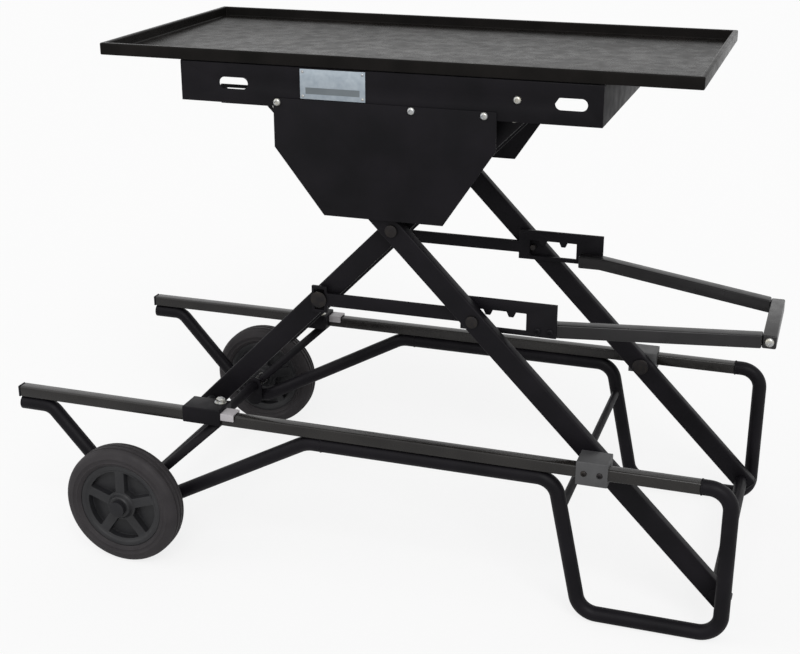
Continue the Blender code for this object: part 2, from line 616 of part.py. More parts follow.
lock_pin_outline = [(0.0, leg_gap[1]), (LOCK_COLLAR_RADIUS, leg_gap[1]),
                    (LOCK_COLLAR_RADIUS, LOCK_Y + LOCK_THICKNESS / 2 + SEAT),
                    (peg_radius, LOCK_Y + LOCK_THICKNESS / 2 + SEAT), (peg_radius, inner_face_y - SEAT),
                    (PIN_HEAD_RADIUS, inner_face_y - SEAT), (PIN_HEAD_RADIUS, inner_face_y - SEAT - PIN_HEAD),
                    (0.0, inner_face_y - SEAT - PIN_HEAD)]
pins("scissor_pin", scissor_outline, outer_legs, (CROSS_X, 0.0, CROSS_Z))
pins("lock_peg", peg_outline, outer_legs, (LOCK_PEG_X, 0.0, LOCK_Z))

# Inner legs: hinge under the table at the top and ride the rails at the foot
inner_place = (CROSS_X, CROSS_Z)
inner_holes = [(0.0, SCISSOR_PIN_DIAMETER / 2), (LEG_UPPER, HINGE_AXLE_DIAMETER / 2),
               (-LEG_LOWER, CARRIAGE_AXLE_DIAMETER / 2), (-LOCK_DISTANCE, LOCK_PIN_DIAMETER / 2)]
for side, sign in SIDES:
    leg("inner_leg_" + side, inner_legs, sign * INNER_LEG_Y, -LEG_LOWER - LEG_END, LEG_UPPER + LEG_END,
        inner_holes, inner_place, -RAISED_ANGLE)
hinge_seat = INNER_LEG_Y + LEG_WIDTH / 2 + SEAT
hinge_end = hinge_seat + PIN_HEAD
hinge_outline = [(0.0, hinge_end), (PIN_HEAD_RADIUS, hinge_end), (PIN_HEAD_RADIUS, hinge_seat),
                 (HINGE_AXLE_DIAMETER / 2, hinge_seat)]
piece("hinge_axle", turned(mirrored(hinge_outline)), inner_legs, (HINGE_X, 0.0, HINGE_Z), ZINC, smooth=True)
pins("lock_pivot_pin", lock_pin_outline, inner_legs, (LOCK_PIVOT_X, 0.0, LOCK_Z))

# Carriage: a saddle shoe on each rail, open below, joined by the axle that the inner legs turn on
shoe_top = half + RUNNING + SHOE_RISE
shoe_inner = RAIL_Y - half - RUNNING - BLOCK_CHEEK
shoe_outer = RAIL_Y + half + RUNNING + BLOCK_WALL
shoe_y = (shoe_inner + shoe_outer) / 2
for side, sign in SIDES:
    saddle = box(SHOE_LENGTH, shoe_outer - shoe_inner, half + shoe_top)
    moved(saddle, x=SHOE_FORWARD, z=(shoe_top - half) / 2)
    shoe = piece("rail_shoe_" + side, saddle, carriage, (CARRIAGE_X, sign * shoe_y, RAIL_Z), BLACK_COAT)
    channel = box(SHOE_LENGTH * 2, RAIL_SIZE + 2 * RUNNING, RAIL_SIZE * 2)
    cut(shoe, moved(channel, y=sign * (RAIL_Y - shoe_y), z=half + RUNNING - RAIL_SIZE))
    socket = rod(CARRIAGE_AXLE_DIAMETER / 2 + SEAT, 2 * (BLOCK_CHEEK - BLOCK_WALL))
    cut(shoe, moved(socket, y=sign * (shoe_inner - shoe_y)))
carriage_length = 2 * (RAIL_Y - half - RUNNING - BLOCK_WALL - SEAT)
carriage_axle = rod(CARRIAGE_AXLE_DIAMETER / 2, carriage_length)
piece("carriage_axle", carriage_axle, carriage, (CARRIAGE_X, 0.0, RAIL_Z), ZINC, smooth=True)

# Slide shoes: nylon blocks on the slide axle, running in the bearers' slots
shoe_room = SLIDE_AXLE_DIAMETER / 2 + SEAT
shoe_width = BEARER_THICKNESS + 2 * SLIDE_SHOE_FLANGE
shoe_end = SLIDE_SHOE_LENGTH / 2
shoe_edge = SLIDE_SHOE_HEIGHT / 2
shoe_outline = rectangle(-shoe_end, -shoe_edge, shoe_end, shoe_edge)
for side, sign in SIDES:
    slide_shoe = profile([shoe_outline, circle(shoe_room)], shoe_width)
    piece("slide_shoe_" + side, slide_shoe, slides, (SLIDE_X, sign * BEARER_Y, HINGE_Z), NYLON)

# Lock: toothed plates that lift on blocks at the inner legs, and drop over pegs on the outer legs
block_half = LOCK_BLOCK_SIZE / 2
block_outline = rectangle(-block_half, -block_half, block_half, block_half)
for side, sign in SIDES:
    lock_block = profile([block_outline, circle(LOCK_PIN_DIAMETER / 2 + SEAT)], LOCK_THICKNESS)
    piece("lock_block_" + side, lock_block, lock_blocks, (LOCK_PIVOT_X, sign * LOCK_Y, LOCK_Z), NYLON)

peg_at = LOCK_PEG_X - LOCK_PIVOT_X
slot_rear = peg_at - peg_radius - RUNNING
slot_front = peg_at + LOCK_TRAVEL + peg_radius + RUNNING
head_rear = peg_at - LOCK_HEAD_REAR
head_front = peg_at + LOCK_TRAVEL + LOCK_HEAD_FRONT
tooth_tip = peg_radius + RUNNING
notch_pitch = LOCK_TRAVEL / LOCK_TOOTH_COUNT
arm_half = LOCK_ARM_HEIGHT / 2
lift_up = LOCK_SLOT_BOTTOM - peg_radius - RUNNING
lift_down = LOCK_SLOT_TOP - peg_radius - RUNNING
eye_bottom = -block_half - lift_up - RUNNING
eye_top = block_half + lift_down + RUNNING
eye_slot = rectangle(-block_half - SEAT, eye_bottom, block_half + SEAT, eye_top)
eye_side = block_half + SEAT + LOCK_EYE_WALL
lock_outline = [(eye_side, arm_half), (eye_side, eye_top + LOCK_EYE_WALL), (-eye_side, eye_top + LOCK_EYE_WALL),
                (-eye_side, eye_bottom - LOCK_EYE_WALL), (eye_side, eye_bottom - LOCK_EYE_WALL),
                (eye_side, -arm_half)]
lock_outline += [(head_rear, -arm_half), (head_rear, -LOCK_HEAD_BOTTOM), (head_front, -LOCK_HEAD_BOTTOM),
                 (head_front, LOCK_HEAD_TOP), (head_rear, LOCK_HEAD_TOP), (head_rear, arm_half)]
slot_outline = [(slot_rear, -LOCK_SLOT_BOTTOM), (slot_front, -LOCK_SLOT_BOTTOM), (slot_front, LOCK_SLOT_TOP)]
for i in reversed(range(LOCK_TOOTH_COUNT)):
    tooth = peg_at + notch_pitch * (i + 0.5)
    slot_outline += [(tooth + LOCK_TOOTH_WIDTH / 2, LOCK_SLOT_TOP), (tooth + LOCK_TOOTH_WIDTH / 4, tooth_tip),
                     (tooth - LOCK_TOOTH_WIDTH / 4, tooth_tip), (tooth - LOCK_TOOTH_WIDTH / 2, LOCK_SLOT_TOP)]
slot_outline.append((slot_rear, LOCK_SLOT_TOP))

arm_start = HANDLE_START_X - LOCK_PIVOT_X
arm_end = HANDLE_END_X - LOCK_PIVOT_X
bar_half = HANDLE_END_Y + HANDLE_TUBE / 2
for side, sign in SIDES:
    plate = profile([lock_outline, slot_outline, eye_slot], LOCK_THICKNESS)
    piece("lock_plate_" + side, plate, lock, (LOCK_PIVOT_X, sign * LOCK_Y, LOCK_Z), BLACK_COAT)
    path = [Vector((arm_start, sign * HANDLE_START_Y, -HANDLE_START_DROP)),
            Vector((head_front, sign * HANDLE_START_Y, -HANDLE_START_DROP)),
            Vector((arm_end, sign * HANDLE_END_Y, -HANDLE_END_DROP))]
    arm_bar = square_bar(path, HANDLE_TUBE)
    arm = piece("handle_arm_" + side, arm_bar, lock, (LOCK_PIVOT_X, 0.0, LOCK_Z), BLACK_COAT)
    trim = box(HANDLE_TUBE * 4, HANDLE_TUBE * 4, HANDLE_TUBE * 4)
    trim_x = arm_end - HANDLE_TUBE / 2 - SEAT + HANDLE_TUBE * 2
    cut(arm, moved(trim, x=trim_x, y=sign * HANDLE_END_Y, z=-HANDLE_END_DROP))
bar_place = (HANDLE_END_X, 0.0, LOCK_Z - HANDLE_END_DROP)
piece("handle_bar", box(HANDLE_TUBE, 2 * bar_half, HANDLE_TUBE), lock, bar_place, BLACK_COAT)

# Table: bearers carry the hinge and the slides, side angles and end plates stiffen the tray
frame_top = SUBFRAME_HEIGHT - SUBFRAME_DROP
slot_half = SLIDE_SHOE_HEIGHT / 2 + RUNNING
slide_reach = SLIDE_SHOE_LENGTH / 2 + SLIDE_END_ROOM
bearer_outline = arc(0.0, 0.0, BEARER_DROP, -math.pi / 2, 0.0)
bearer_rear = BEARER_REAR_X - HINGE_X
bearer_step = bearer_rear + BEARER_TAIL
tail_top = slot_half + BEARER_TAIL_WALL
bearer_outline += [(BEARER_DROP, frame_top), (bearer_step, frame_top), (bearer_step, tail_top),
                   (bearer_rear, tail_top), (bearer_rear, -BEARER_DROP)]
bearer_slot = rectangle(SLIDE_LOWERED_X - slide_reach - HINGE_X, -slot_half,
                        SLIDE_X + slide_reach - HINGE_X, slot_half)
bearer_hole = circle(HINGE_AXLE_DIAMETER / 2 + SEAT)
guard_top = GUARD_LAP / 2
guard_rear = -guard_top - GUARD_REAR_STRAIGHT
guard_front = -guard_top - GUARD_FRONT_STRAIGHT
guard_foot = -guard_top - GUARD_DROP
guard_outline = [(-GUARD_TOP_HALF, guard_top), (-GUARD_TOP_HALF, guard_rear), (-GUARD_FOOT_HALF, guard_foot),
                 (GUARD_FOOT_HALF, guard_foot), (GUARD_TOP_HALF, guard_front), (GUARD_TOP_HALF, guard_top)]
web_half = SIDE_THICKNESS / 2
slot_end = SIDE_SLOT_HEIGHT / 2
slot_run = SIDE_SLOT_LENGTH / 2 - slot_end
hand_slot = arc(slot_run, 0.0, slot_end, -math.pi / 2, math.pi / 2)
hand_slot += arc(-slot_run, 0.0, slot_end, math.pi / 2, 3 * math.pi / 2)
for side, sign in SIDES:
    bearer = profile([bearer_outline, bearer_slot, bearer_hole], BEARER_THICKNESS)
    piece("bearer_" + side, bearer, table, (HINGE_X, sign * BEARER_Y, HINGE_Z), BLACK_COAT)
    angle_outline = [(sign * web_half, 0.0), (sign * web_half, SUBFRAME_HEIGHT),
                     (sign * (web_half - SIDE_FLANGE), SUBFRAME_HEIGHT),
                     (sign * (web_half - SIDE_FLANGE), SUBFRAME_HEIGHT - SIDE_THICKNESS),
                     (-sign * web_half, SUBFRAME_HEIGHT - SIDE_THICKNESS), (-sign * web_half, 0.0)]
    angle = piece("subframe_side_" + side, profile([angle_outline], SUBFRAME_LENGTH, axis="X"), table,
                  (TRAY_X, sign * SIDE_Y, SUBFRAME_Z), BLACK_COAT)
    slot_places = (SIDE_SLOT_REAR_INSET - SUBFRAME_LENGTH / 2, SUBFRAME_LENGTH / 2 - SIDE_SLOT_FRONT_INSET)
    slots = [moved(profile([hand_slot], SIDE_THICKNESS * 4), x=x, z=SIDE_SLOT_Z) for x in slot_places]
    cut(angle, merged(*slots))
    guard = profile([guard_outline], GUARD_THICKNESS)
    piece("guard_" + side, guard, table, (TRAY_X, sign * GUARD_Y, SUBFRAME_Z + guard_top), BLACK_COAT)
end_height = SUBFRAME_HEIGHT - SIDE_THICKNESS - SEAT
front_end = box(END_THICKNESS, 2 * (SIDE_Y - web_half - SEAT), end_height)
piece("subframe_end_front", front_end, table,
      (SUBFRAME_FRONT_X - END_THICKNESS / 2, 0.0, SUBFRAME_Z + end_height / 2), BLACK_COAT)

tray = box(TRAY_LENGTH, TRAY_DEPTH, TRAY_HEIGHT)
top_face = [face for face in tray.faces if face.normal.z > 0.5]
bmesh.ops.inset_individual(tray, faces=top_face, thickness=TRAY_LIP)
sunk = bmesh.ops.extrude_discrete_faces(tray, faces=top_face)["faces"]
sunk_corners = {corner for face in sunk for corner in face.verts}
bmesh.ops.translate(tray, verts=list(sunk_corners), vec=(0.0, 0.0, TRAY_FLOOR - TRAY_HEIGHT))
piece("tray", tray, table, (TRAY_X, 0.0, TRAY_Z + TRAY_HEIGHT / 2), TRAY_COAT)

plate_y = -(SIDE_Y + web_half + SEAT + PLATE_THICKNESS / 2)
plate_z = SUBFRAME_Z + GUARD_LAP + PLATE_THICKNESS + PLATE_HEIGHT / 2
plate = box(PLATE_LENGTH, PLATE_THICKNESS, PLATE_HEIGHT)
piece("data_plate", plate, table, (TRAY_X + PLATE_X, plate_y, plate_z), SILVER)
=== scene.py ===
import json
import math

import bmesh
import bpy
from mathutils import Matrix, Vector


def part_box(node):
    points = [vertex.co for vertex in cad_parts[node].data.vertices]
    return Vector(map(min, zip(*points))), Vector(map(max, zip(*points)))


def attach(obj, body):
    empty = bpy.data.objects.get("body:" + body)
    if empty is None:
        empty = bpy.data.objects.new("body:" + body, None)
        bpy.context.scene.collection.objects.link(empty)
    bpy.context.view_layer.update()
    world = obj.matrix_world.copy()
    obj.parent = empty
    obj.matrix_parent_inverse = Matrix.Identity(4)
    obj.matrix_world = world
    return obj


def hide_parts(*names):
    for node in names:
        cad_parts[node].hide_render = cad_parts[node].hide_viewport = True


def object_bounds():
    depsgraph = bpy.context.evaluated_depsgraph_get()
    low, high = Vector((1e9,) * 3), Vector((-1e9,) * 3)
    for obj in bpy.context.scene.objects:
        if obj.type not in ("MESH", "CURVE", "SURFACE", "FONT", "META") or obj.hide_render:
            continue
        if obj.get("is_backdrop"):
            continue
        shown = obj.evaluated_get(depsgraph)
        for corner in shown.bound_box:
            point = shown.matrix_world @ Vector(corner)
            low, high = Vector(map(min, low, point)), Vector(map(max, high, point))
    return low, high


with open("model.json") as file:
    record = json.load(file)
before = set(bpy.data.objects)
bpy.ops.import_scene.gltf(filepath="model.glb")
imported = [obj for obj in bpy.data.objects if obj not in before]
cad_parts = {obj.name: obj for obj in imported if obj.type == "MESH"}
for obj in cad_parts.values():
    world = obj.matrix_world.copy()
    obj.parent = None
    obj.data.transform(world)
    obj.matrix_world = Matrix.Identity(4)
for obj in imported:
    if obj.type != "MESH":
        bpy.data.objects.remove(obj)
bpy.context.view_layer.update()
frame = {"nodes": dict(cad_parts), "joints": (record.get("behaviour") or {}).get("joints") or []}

# Base rails: two lengths of square mild-steel tube in satin black enamel, which carry the whole stand.
# The drawn tube has rounded corners, and its smooth upper face picks up the light at a low angle.
RAIL_CORNER = 0.0028
SPECK = 0.000002
SMOOTH_ANGLE = math.radians(40)
MM_PER_METRE = 1000
CLOUD_MM = 70
CLOUD_SPAN = (0.35, 0.70)
RUB_MM = 22
RUB_SPAN = (0.3, 0.7)
RUB_SMOOTHER = 0.05
RUB_DULLER = 0.08
SKIN_STRENGTH = 0.3
FLECK_MM = 14
FLECK_BLUR = 0.08


def to_linear(colour):
    """Linear RGBA of an sRGB hex colour."""
    parts = [int(colour[i:i + 2], 16) / 255 for i in (1, 3, 5)]
    return [p / 12.92 if p <= 0.04045 else ((p + 0.055) / 1.055) ** 2.4 for p in parts] + [1.0]


def add_node(tree, kind, settings=(), stops=(), **links):
    """Adds a shader node, sets its values and colour stops, and links outputs of other nodes to it."""
    made = tree.nodes.new("ShaderNode" + kind)
    for name, value in dict(settings).items():
        if name in made.inputs:
            made.inputs[name].default_value = value
        else:
            setattr(made, name, value)
    for i, (position, colour) in enumerate(stops):
        made.color_ramp.elements[i].position = position
        made.color_ramp.elements[i].color = to_linear(colour)
    for name, source in links.items():
        tree.links.new(source, made.inputs[name.replace("_", " ")])
    return made


def painted(name, dark, light, roughness, ior, grain_mm, bump_mm,
            cloud_mm=CLOUD_MM, detail=4.0, crumble=0.5, span=CLOUD_SPAN):
    """Coated or moulded skin: clouds of two colours, gloss that is rubbed unevenly, and a fine grain."""
    finish = bpy.data.materials.new(name)
    finish.use_nodes = True
    tree = finish.node_tree
    shader = tree.nodes["Principled BSDF"]
    shader.inputs["IOR"].default_value = ior
    place = add_node(tree, "TexCoord").outputs["Object"]
    cloud = add_node(tree, "TexNoise", {"Scale": MM_PER_METRE / cloud_mm, "Detail": detail,
                                        "Roughness": crumble}, Vector=place)
    colour = add_node(tree, "ValToRGB", stops=zip(span, (dark, light)), Fac=cloud.outputs["Fac"])
    tree.links.new(colour.outputs["Color"], shader.inputs["Base Color"])
    rub = add_node(tree, "TexNoise", {"Scale": MM_PER_METRE / RUB_MM, "Detail": 6.0}, Vector=place)
    gloss = add_node(tree, "MapRange", {"From Min": RUB_SPAN[0], "From Max": RUB_SPAN[1],
                                        "To Min": roughness - RUB_SMOOTHER,
                                        "To Max": roughness + RUB_DULLER}, Value=rub.outputs["Fac"])
    tree.links.new(gloss.outputs["Result"], shader.inputs["Roughness"])
    # Real orange peel and mould grain are finer than 1 mm, and are drawn at 2 to 4 mm so that they show
    grain = add_node(tree, "TexNoise", {"Scale": MM_PER_METRE / grain_mm, "Detail": 2.0}, Vector=place)
    skin = add_node(tree, "Bump", {"Strength": SKIN_STRENGTH, "Distance": bump_mm / MM_PER_METRE},
                    Height=grain.outputs["Fac"])
    tree.links.new(skin.outputs["Normal"], shader.inputs["Normal"])
    return finish


def worn(name, dark, bare, roughness, share):
    """Edge where handling has rubbed the coat thin: dark coat with pale metal showing in flecks."""
    return painted(name, dark, bare, roughness, ior=1.4, grain_mm=3.0, bump_mm=0.05,
                   cloud_mm=FLECK_MM, detail=8.0, crumble=0.7,
                   span=(1 - share - FLECK_BLUR, 1 - share + FLECK_BLUR))


# Satin stove enamel on drawn tube: smoother than the powder coat, with long soft highlights
satin_enamel = painted("satin_stove_enamel", "#171514", "#22201e", roughness=0.24, ior=1.40, grain_mm=3.0,
                       bump_mm=0.04)

# Rubbed enamel edges: the corner radius shows a thin line of paler steel
enamel_edge = worn("rubbed_enamel_edge", "#1d1b1a", "#6a6764", roughness=0.3, share=0.45)


def apply_modifier(piece, kind, **settings):
    """Adds a modifier and applies it."""
    bpy.context.view_layer.objects.active = piece
    modifier = piece.modifiers.new(kind.lower(), kind)
    for name, value in settings.items():
        setattr(modifier, name, value)
    bpy.ops.object.modifier_apply(modifier=modifier.name)


def round_edges(piece, width, segments=3, angle=35):
    """Rounds a piece's edges, marks the rounded strips as its second finish, and shades it smooth."""
    piece.data.materials.clear()
    piece.data.materials.append(None)
    piece.data.materials.append(None)
    apply_modifier(piece, "BEVEL", width=width, segments=segments, limit_method="ANGLE",
                   angle_limit=math.radians(angle), miter_outer="MITER_ARC", material=1)
    apply_modifier(piece, "WELD", merge_threshold=SPECK)
    bpy.ops.object.select_all(action="DESELECT")
    piece.select_set(True)
    bpy.ops.object.shade_smooth_by_angle(angle=SMOOTH_ANGLE)


def block(low, high):
    """Cube drawn out to two corners, with its place in its mesh."""
    bpy.ops.object.select_all(action="DESELECT")
    low, high = Vector(low), Vector(high)
    bpy.ops.mesh.primitive_cube_add(size=1.0, location=(low + high) / 2)
    piece = bpy.context.object
    piece.scale = high - low
    bpy.ops.object.transform_apply(location=True, rotation=True, scale=True)
    return piece


def placed_copy(first, place):
    """Copy of a piece with its own mesh, moved by a matrix."""
    piece = bpy.data.objects.new(first.name, first.data.copy())
    piece.data.transform(place)
    bpy.context.scene.collection.objects.link(piece)
    return piece


def pair(first):
    """A piece modelled on the left, and its copy as far over on the right."""
    across = [point.co.y for point in first.data.vertices]
    second = placed_copy(first, Matrix.Translation((0.0, -min(across) - max(across), 0.0)))
    return ("left", first), ("right", second)


def fit(piece, name, body, slot, finish, *nodes, edge=None):
    """Names a finished piece, gives it its finish and rubbed edge, and hangs it on its body."""
    piece.name = name
    piece.data.name = name
    edged = len(piece.data.materials) == 2
    piece.data.materials.clear()
    piece.data.materials.append(finish)
    if edged:
        piece.data.materials.append(edge or finish)
    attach(piece, body)
    if nodes:
        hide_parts(*nodes)


left_rail = block(*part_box("rail_left"))
round_edges(left_rail, RAIL_CORNER)
for side, rail in pair(left_rail):
    fit(rail, "rail_tube_" + side, "base", "satin_black_rail", satin_enamel, "rail_" + side,
        edge=enamel_edge)

# Rail plugs: moulded polyethylene caps driven into the open rear ends of the rails.
# The head stands a few millimetres proud of the tube, with softened corners.
SIDES = (("left", -1), ("right", 1))
PLUG_CROWN = 0.0012
SOLID_MERGE = 0.00002
FLAT_ANGLE = math.radians(1)

# Moulded polyethylene: near-black with a cool cast, and duller than the coated steel
black_moulding = painted("moulded_black_polyethylene", "#18181a", "#222225", roughness=0.5, ior=1.3,
                         grain_mm=2.0, bump_mm=0.06)


def clean_faces(piece, merge):
    """Merges points that lie closer than a distance, and joins the faces of each flat."""
    bpy.ops.object.select_all(action="DESELECT")
    bpy.context.view_layer.objects.active = piece
    piece.select_set(True)
    bpy.ops.object.mode_set(mode="EDIT")
    bpy.ops.mesh.select_all(action="SELECT")
    bpy.ops.mesh.remove_doubles(threshold=merge)
    bpy.ops.mesh.dissolve_limited(angle_limit=FLAT_ANGLE)
    bpy.ops.object.mode_set(mode="OBJECT")


def softened(node, width, segments=2):
    """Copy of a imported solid, merged into clean faces, with its edges rounded."""
    piece = bpy.data.objects.new(node, frame["nodes"][node].data.copy())
    bpy.context.scene.collection.objects.link(piece)
    clean_faces(piece, SOLID_MERGE)
    round_edges(piece, width, segments)
    return piece


for side, _ in SIDES:
    plug = softened("rail_cap_" + side, PLUG_CROWN)
    fit(plug, "rail_plug_" + side, "base", "black_moulding", black_moulding, "rail_cap_" + side)

# Wheel struts and foot loops: round steel tube, cold bent, powder-coated black and welded below the rails.
# The strut dips under the axle, and the loop runs down to the floor and up again to the rail's front end.
SEAT = 0.0003
TUBE_RADIUS = 0.0125
STRUT_LEVEL_REAR = 0.056
STRUT_LEVEL_FRONT = 0.028
STRUT_BENDS = (0.030, 0.060, 0.050)
AXLE_CLEARANCE = 0.0245
CROOK_ROUNDS = 12
LOOP_TOP_BACK = 0.227
LOOP_FOOT_BACK = 0.178
LOOP_REACH = 0.046
LOOP_BEND = 0.035
TUBE_SIDES = 32
BEND_STEPS = 14
SEAM_MERGE = 0.00001
SORT_WAY = Vector((1.0, 0.7391, 0.4133))

# Powder coat baked on steel: a fine pebbled skin, drawn coarser than its real 1 mm so that it shows
powder_coat = painted("black_powder_coat", "#0d0c0f", "#151317", roughness=0.46, ior=1.20, grain_mm=4.0,
                      bump_mm=0.10)

# Rubbed powder coat: edges where the black has thinned to a dull grey
coat_edge = worn("rubbed_powder_coat_edge", "#151317", "#504e51", roughness=0.4, share=0.40)


def sort_mesh(piece):
    """Orders a mesh's points, edges and faces by place in edit mode, so that each run gives the same."""
    mesh = bmesh.from_edit_mesh(piece.data)
    mesh.verts.sort(key=lambda point: point.co.dot(SORT_WAY))
    mesh.edges.sort(key=lambda edge: (edge.verts[0].co + edge.verts[1].co).dot(SORT_WAY))
    mesh.faces.sort(key=lambda face: face.calc_center_median().dot(SORT_WAY))
    bmesh.update_edit_mesh(piece.data)


def close_ends(tube):
    """Fills a tube's ends and turns its faces outwards."""
    bpy.ops.mesh.select_all(action="SELECT")
    bpy.ops.mesh.fill_holes(sides=0)
    bpy.ops.mesh.select_all(action="SELECT")
    bpy.ops.mesh.normals_make_consistent(inside=False)
    sort_mesh(tube)
    bpy.ops.object.mode_set(mode="OBJECT")


def bent_tube(corners, bends, radius):
    """Round tube drawn out along straight runs and swung round its corners, as on a tube bender."""
    bpy.ops.object.select_all(action="DESELECT")
    corners = [Vector(corner) for corner in corners]
    way = (corners[1] - corners[0]).normalized()
    bpy.ops.mesh.primitive_circle_add(vertices=TUBE_SIDES, radius=radius, location=corners[0],
                                      rotation=way.to_track_quat("Z", "Y").to_euler())
    tube = bpy.context.object
    bpy.ops.object.transform_apply(location=True, rotation=True, scale=True)
    bpy.ops.object.mode_set(mode="EDIT")
    bpy.ops.mesh.select_all(action="SELECT")
    here = corners[0]
    for before, corner, after, bend in zip(corners, corners[1:], corners[2:], bends):
        back = (before - corner).normalized()
        on = (after - corner).normalized()
        half = back.angle(on) / 2
        centre = corner + (back + on).normalized() * bend / math.sin(half)
        start = corner + back * bend / math.tan(half)
        bpy.ops.mesh.extrude_region_move(TRANSFORM_OT_translate={"value": start - here})
        bpy.ops.mesh.spin(steps=BEND_STEPS, angle=math.pi - 2 * half, center=centre, axis=back.cross(on))
        here = corner + on * bend / math.tan(half)
    bpy.ops.mesh.extrude_region_move(TRANSFORM_OT_translate={"value": corners[-1] - here})
    bpy.ops.mesh.select_all(action="SELECT")
    bpy.ops.mesh.remove_doubles(threshold=SEAM_MERGE)
    close_ends(tube)
    bpy.ops.object.shade_smooth_by_angle(angle=SMOOTH_ANGLE)
    return tube


joints = {joint["name"]: joint for joint in frame["joints"]}
axle_x, _, axle_z = joints["wheel_left_spin"]["pos_m"]
rail_low, rail_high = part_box("rail_left")
rail_z = (rail_low.z + rail_high.z) / 2
to_left = Vector((0.0, (rail_low.y + rail_high.y) / 2, 0.0))
tube_z = rail_low.z - SEAT - TUBE_RADIUS
strut_rear = rail_low.x
strut_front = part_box("wheel_strut_left")[1].x
axle = Vector((axle_x, 0.0, axle_z))
strut_top = Vector((strut_rear + STRUT_LEVEL_REAR, 0.0, tube_z))
strut_join = Vector((strut_front - STRUT_LEVEL_FRONT, 0.0, tube_z))
crook = axle
for _ in range(CROOK_ROUNDS):
    up_rear = (strut_top - crook).normalized()
    up_front = (strut_join - crook).normalized()
    sag = STRUT_BENDS[1] * (1 / math.sin(up_rear.angle(up_front) / 2) - 1)
    crook = axle - (up_rear + up_front).normalized() * (AXLE_CLEARANCE + sag)
strut_path = [(strut_rear, 0.0, tube_z), strut_top, crook, strut_join, (strut_front, 0.0, tube_z)]
loop_front = rail_high.x + LOOP_REACH
loop_path = [(strut_front + SEAT, 0.0, tube_z), (rail_high.x - LOOP_TOP_BACK, 0.0, tube_z),
             (rail_high.x - LOOP_FOOT_BACK, 0.0, TUBE_RADIUS), (loop_front, 0.0, TUBE_RADIUS),
             (loop_front, 0.0, rail_z), (rail_high.x + SEAT, 0.0, rail_z)]
loop_bends = [LOOP_BEND for corner in loop_path[1:-1]]
left_strut = bent_tube([Vector(point) + to_left for point in strut_path], STRUT_BENDS, TUBE_RADIUS)
for side, strut in pair(left_strut):
    fit(strut, "strut_tube_" + side, "base", "black_powder_coat", powder_coat, "wheel_strut_" + side)
left_loop = bent_tube([Vector(point) + to_left for point in loop_path], loop_bends, TUBE_RADIUS)
for side, loop in pair(left_loop):
    fit(loop, "loop_tube_" + side, "base", "black_powder_coat", powder_coat, "foot_loop_" + side)

# Loop bar: a slimmer round bar welded between the rear legs of the two foot loops.
# It keeps the base square where no other piece crosses it.
bar_low, bar_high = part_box("loop_bar")
bar_middle = (bar_low + bar_high) / 2
bar_radius = (bar_high.x - bar_low.x) / 2
loop_bar = bent_tube([(bar_middle.x, bar_low.y, bar_middle.z), (bar_middle.x, bar_high.y, bar_middle.z)],
                     (), bar_radius)
fit(loop_bar, "loop_cross_bar", "base", "black_powder_coat", powder_coat, "loop_bar")

# Axle braces: a thinner tube from each axle lug up to the rail, coped and welded under it.
# The lug is a flat eye welded to the side of the strut's dip, and it holds the axle.
BRACE_RADIUS = 0.008
BRACE_FOOT = 0.0153
BRACE_AHEAD = 0.145
BRACE_SPARE = 0.050
LUG_EDGE = 0.0012
brace_top = Vector((axle_x + BRACE_AHEAD, 0.0, tube_z))
brace_way = (brace_top - axle).normalized()
brace_foot = axle + brace_way * BRACE_FOOT
brace_reach = brace_top + brace_way * BRACE_SPARE
left_brace = bent_tube([brace_foot + to_left, brace_reach + to_left], (), BRACE_RADIUS)
bpy.ops.object.mode_set(mode="EDIT")
bpy.ops.mesh.select_all(action="SELECT")
bpy.ops.mesh.bisect(plane_co=(0, 0, rail_low.z - SEAT), plane_no=(0, 0, 1), clear_outer=True)
close_ends(left_brace)
for side, brace in pair(left_brace):
    fit(brace, "brace_tube_" + side, "base", "black_powder_coat", powder_coat, "axle_brace_" + side)
for side, _ in SIDES:
    lug = softened("axle_lug_" + side, LUG_EDGE)
    fit(lug, "lug_" + side, "base", "black_powder_coat", powder_coat, "axle_lug_" + side, edge=coat_edge)

# Weld beads: rings of mild-steel weld under the powder coat, rippled by the welder's hand.
# They join the loops to the rails' front ends and to the struts, and the loop bar and braces to the tubes.
BEAD = 0.0022
BEAD_STEPS = 72
BEAD_SIDES = 8
BEAD_SMOOTH = math.radians(60)
RIPPLES = 18
RIPPLE_DEPTH = 0.18


def weld_ring(centre, way, radius):
    """Ring of weld round a tube end, with its ripples pressed into a torus."""
    bpy.ops.object.select_all(action="DESELECT")
    bpy.ops.mesh.primitive_torus_add(major_radius=radius, minor_radius=BEAD, major_segments=BEAD_STEPS,
                                     minor_segments=BEAD_SIDES)
    bead = bpy.context.object
    bpy.ops.object.mode_set(mode="EDIT")
    mesh = bmesh.from_edit_mesh(bead.data)
    for point in mesh.verts:
        round_way = Vector((point.co.x, point.co.y, 0.0)).normalized()
        wave = math.cos(RIPPLES * math.atan2(point.co.y, point.co.x))
        ripple = 1 - RIPPLE_DEPTH + RIPPLE_DEPTH * wave
        point.co = round_way * radius + (point.co - round_way * radius) * ripple
    bmesh.update_edit_mesh(bead.data)
    bpy.ops.object.mode_set(mode="OBJECT")
    turn = Vector(way).to_track_quat("Z", "Y").to_matrix().to_4x4()
    bead.data.transform(Matrix.Translation(centre) @ turn)
    bpy.ops.object.shade_smooth_by_angle(angle=BEAD_SMOOTH)
    return bead


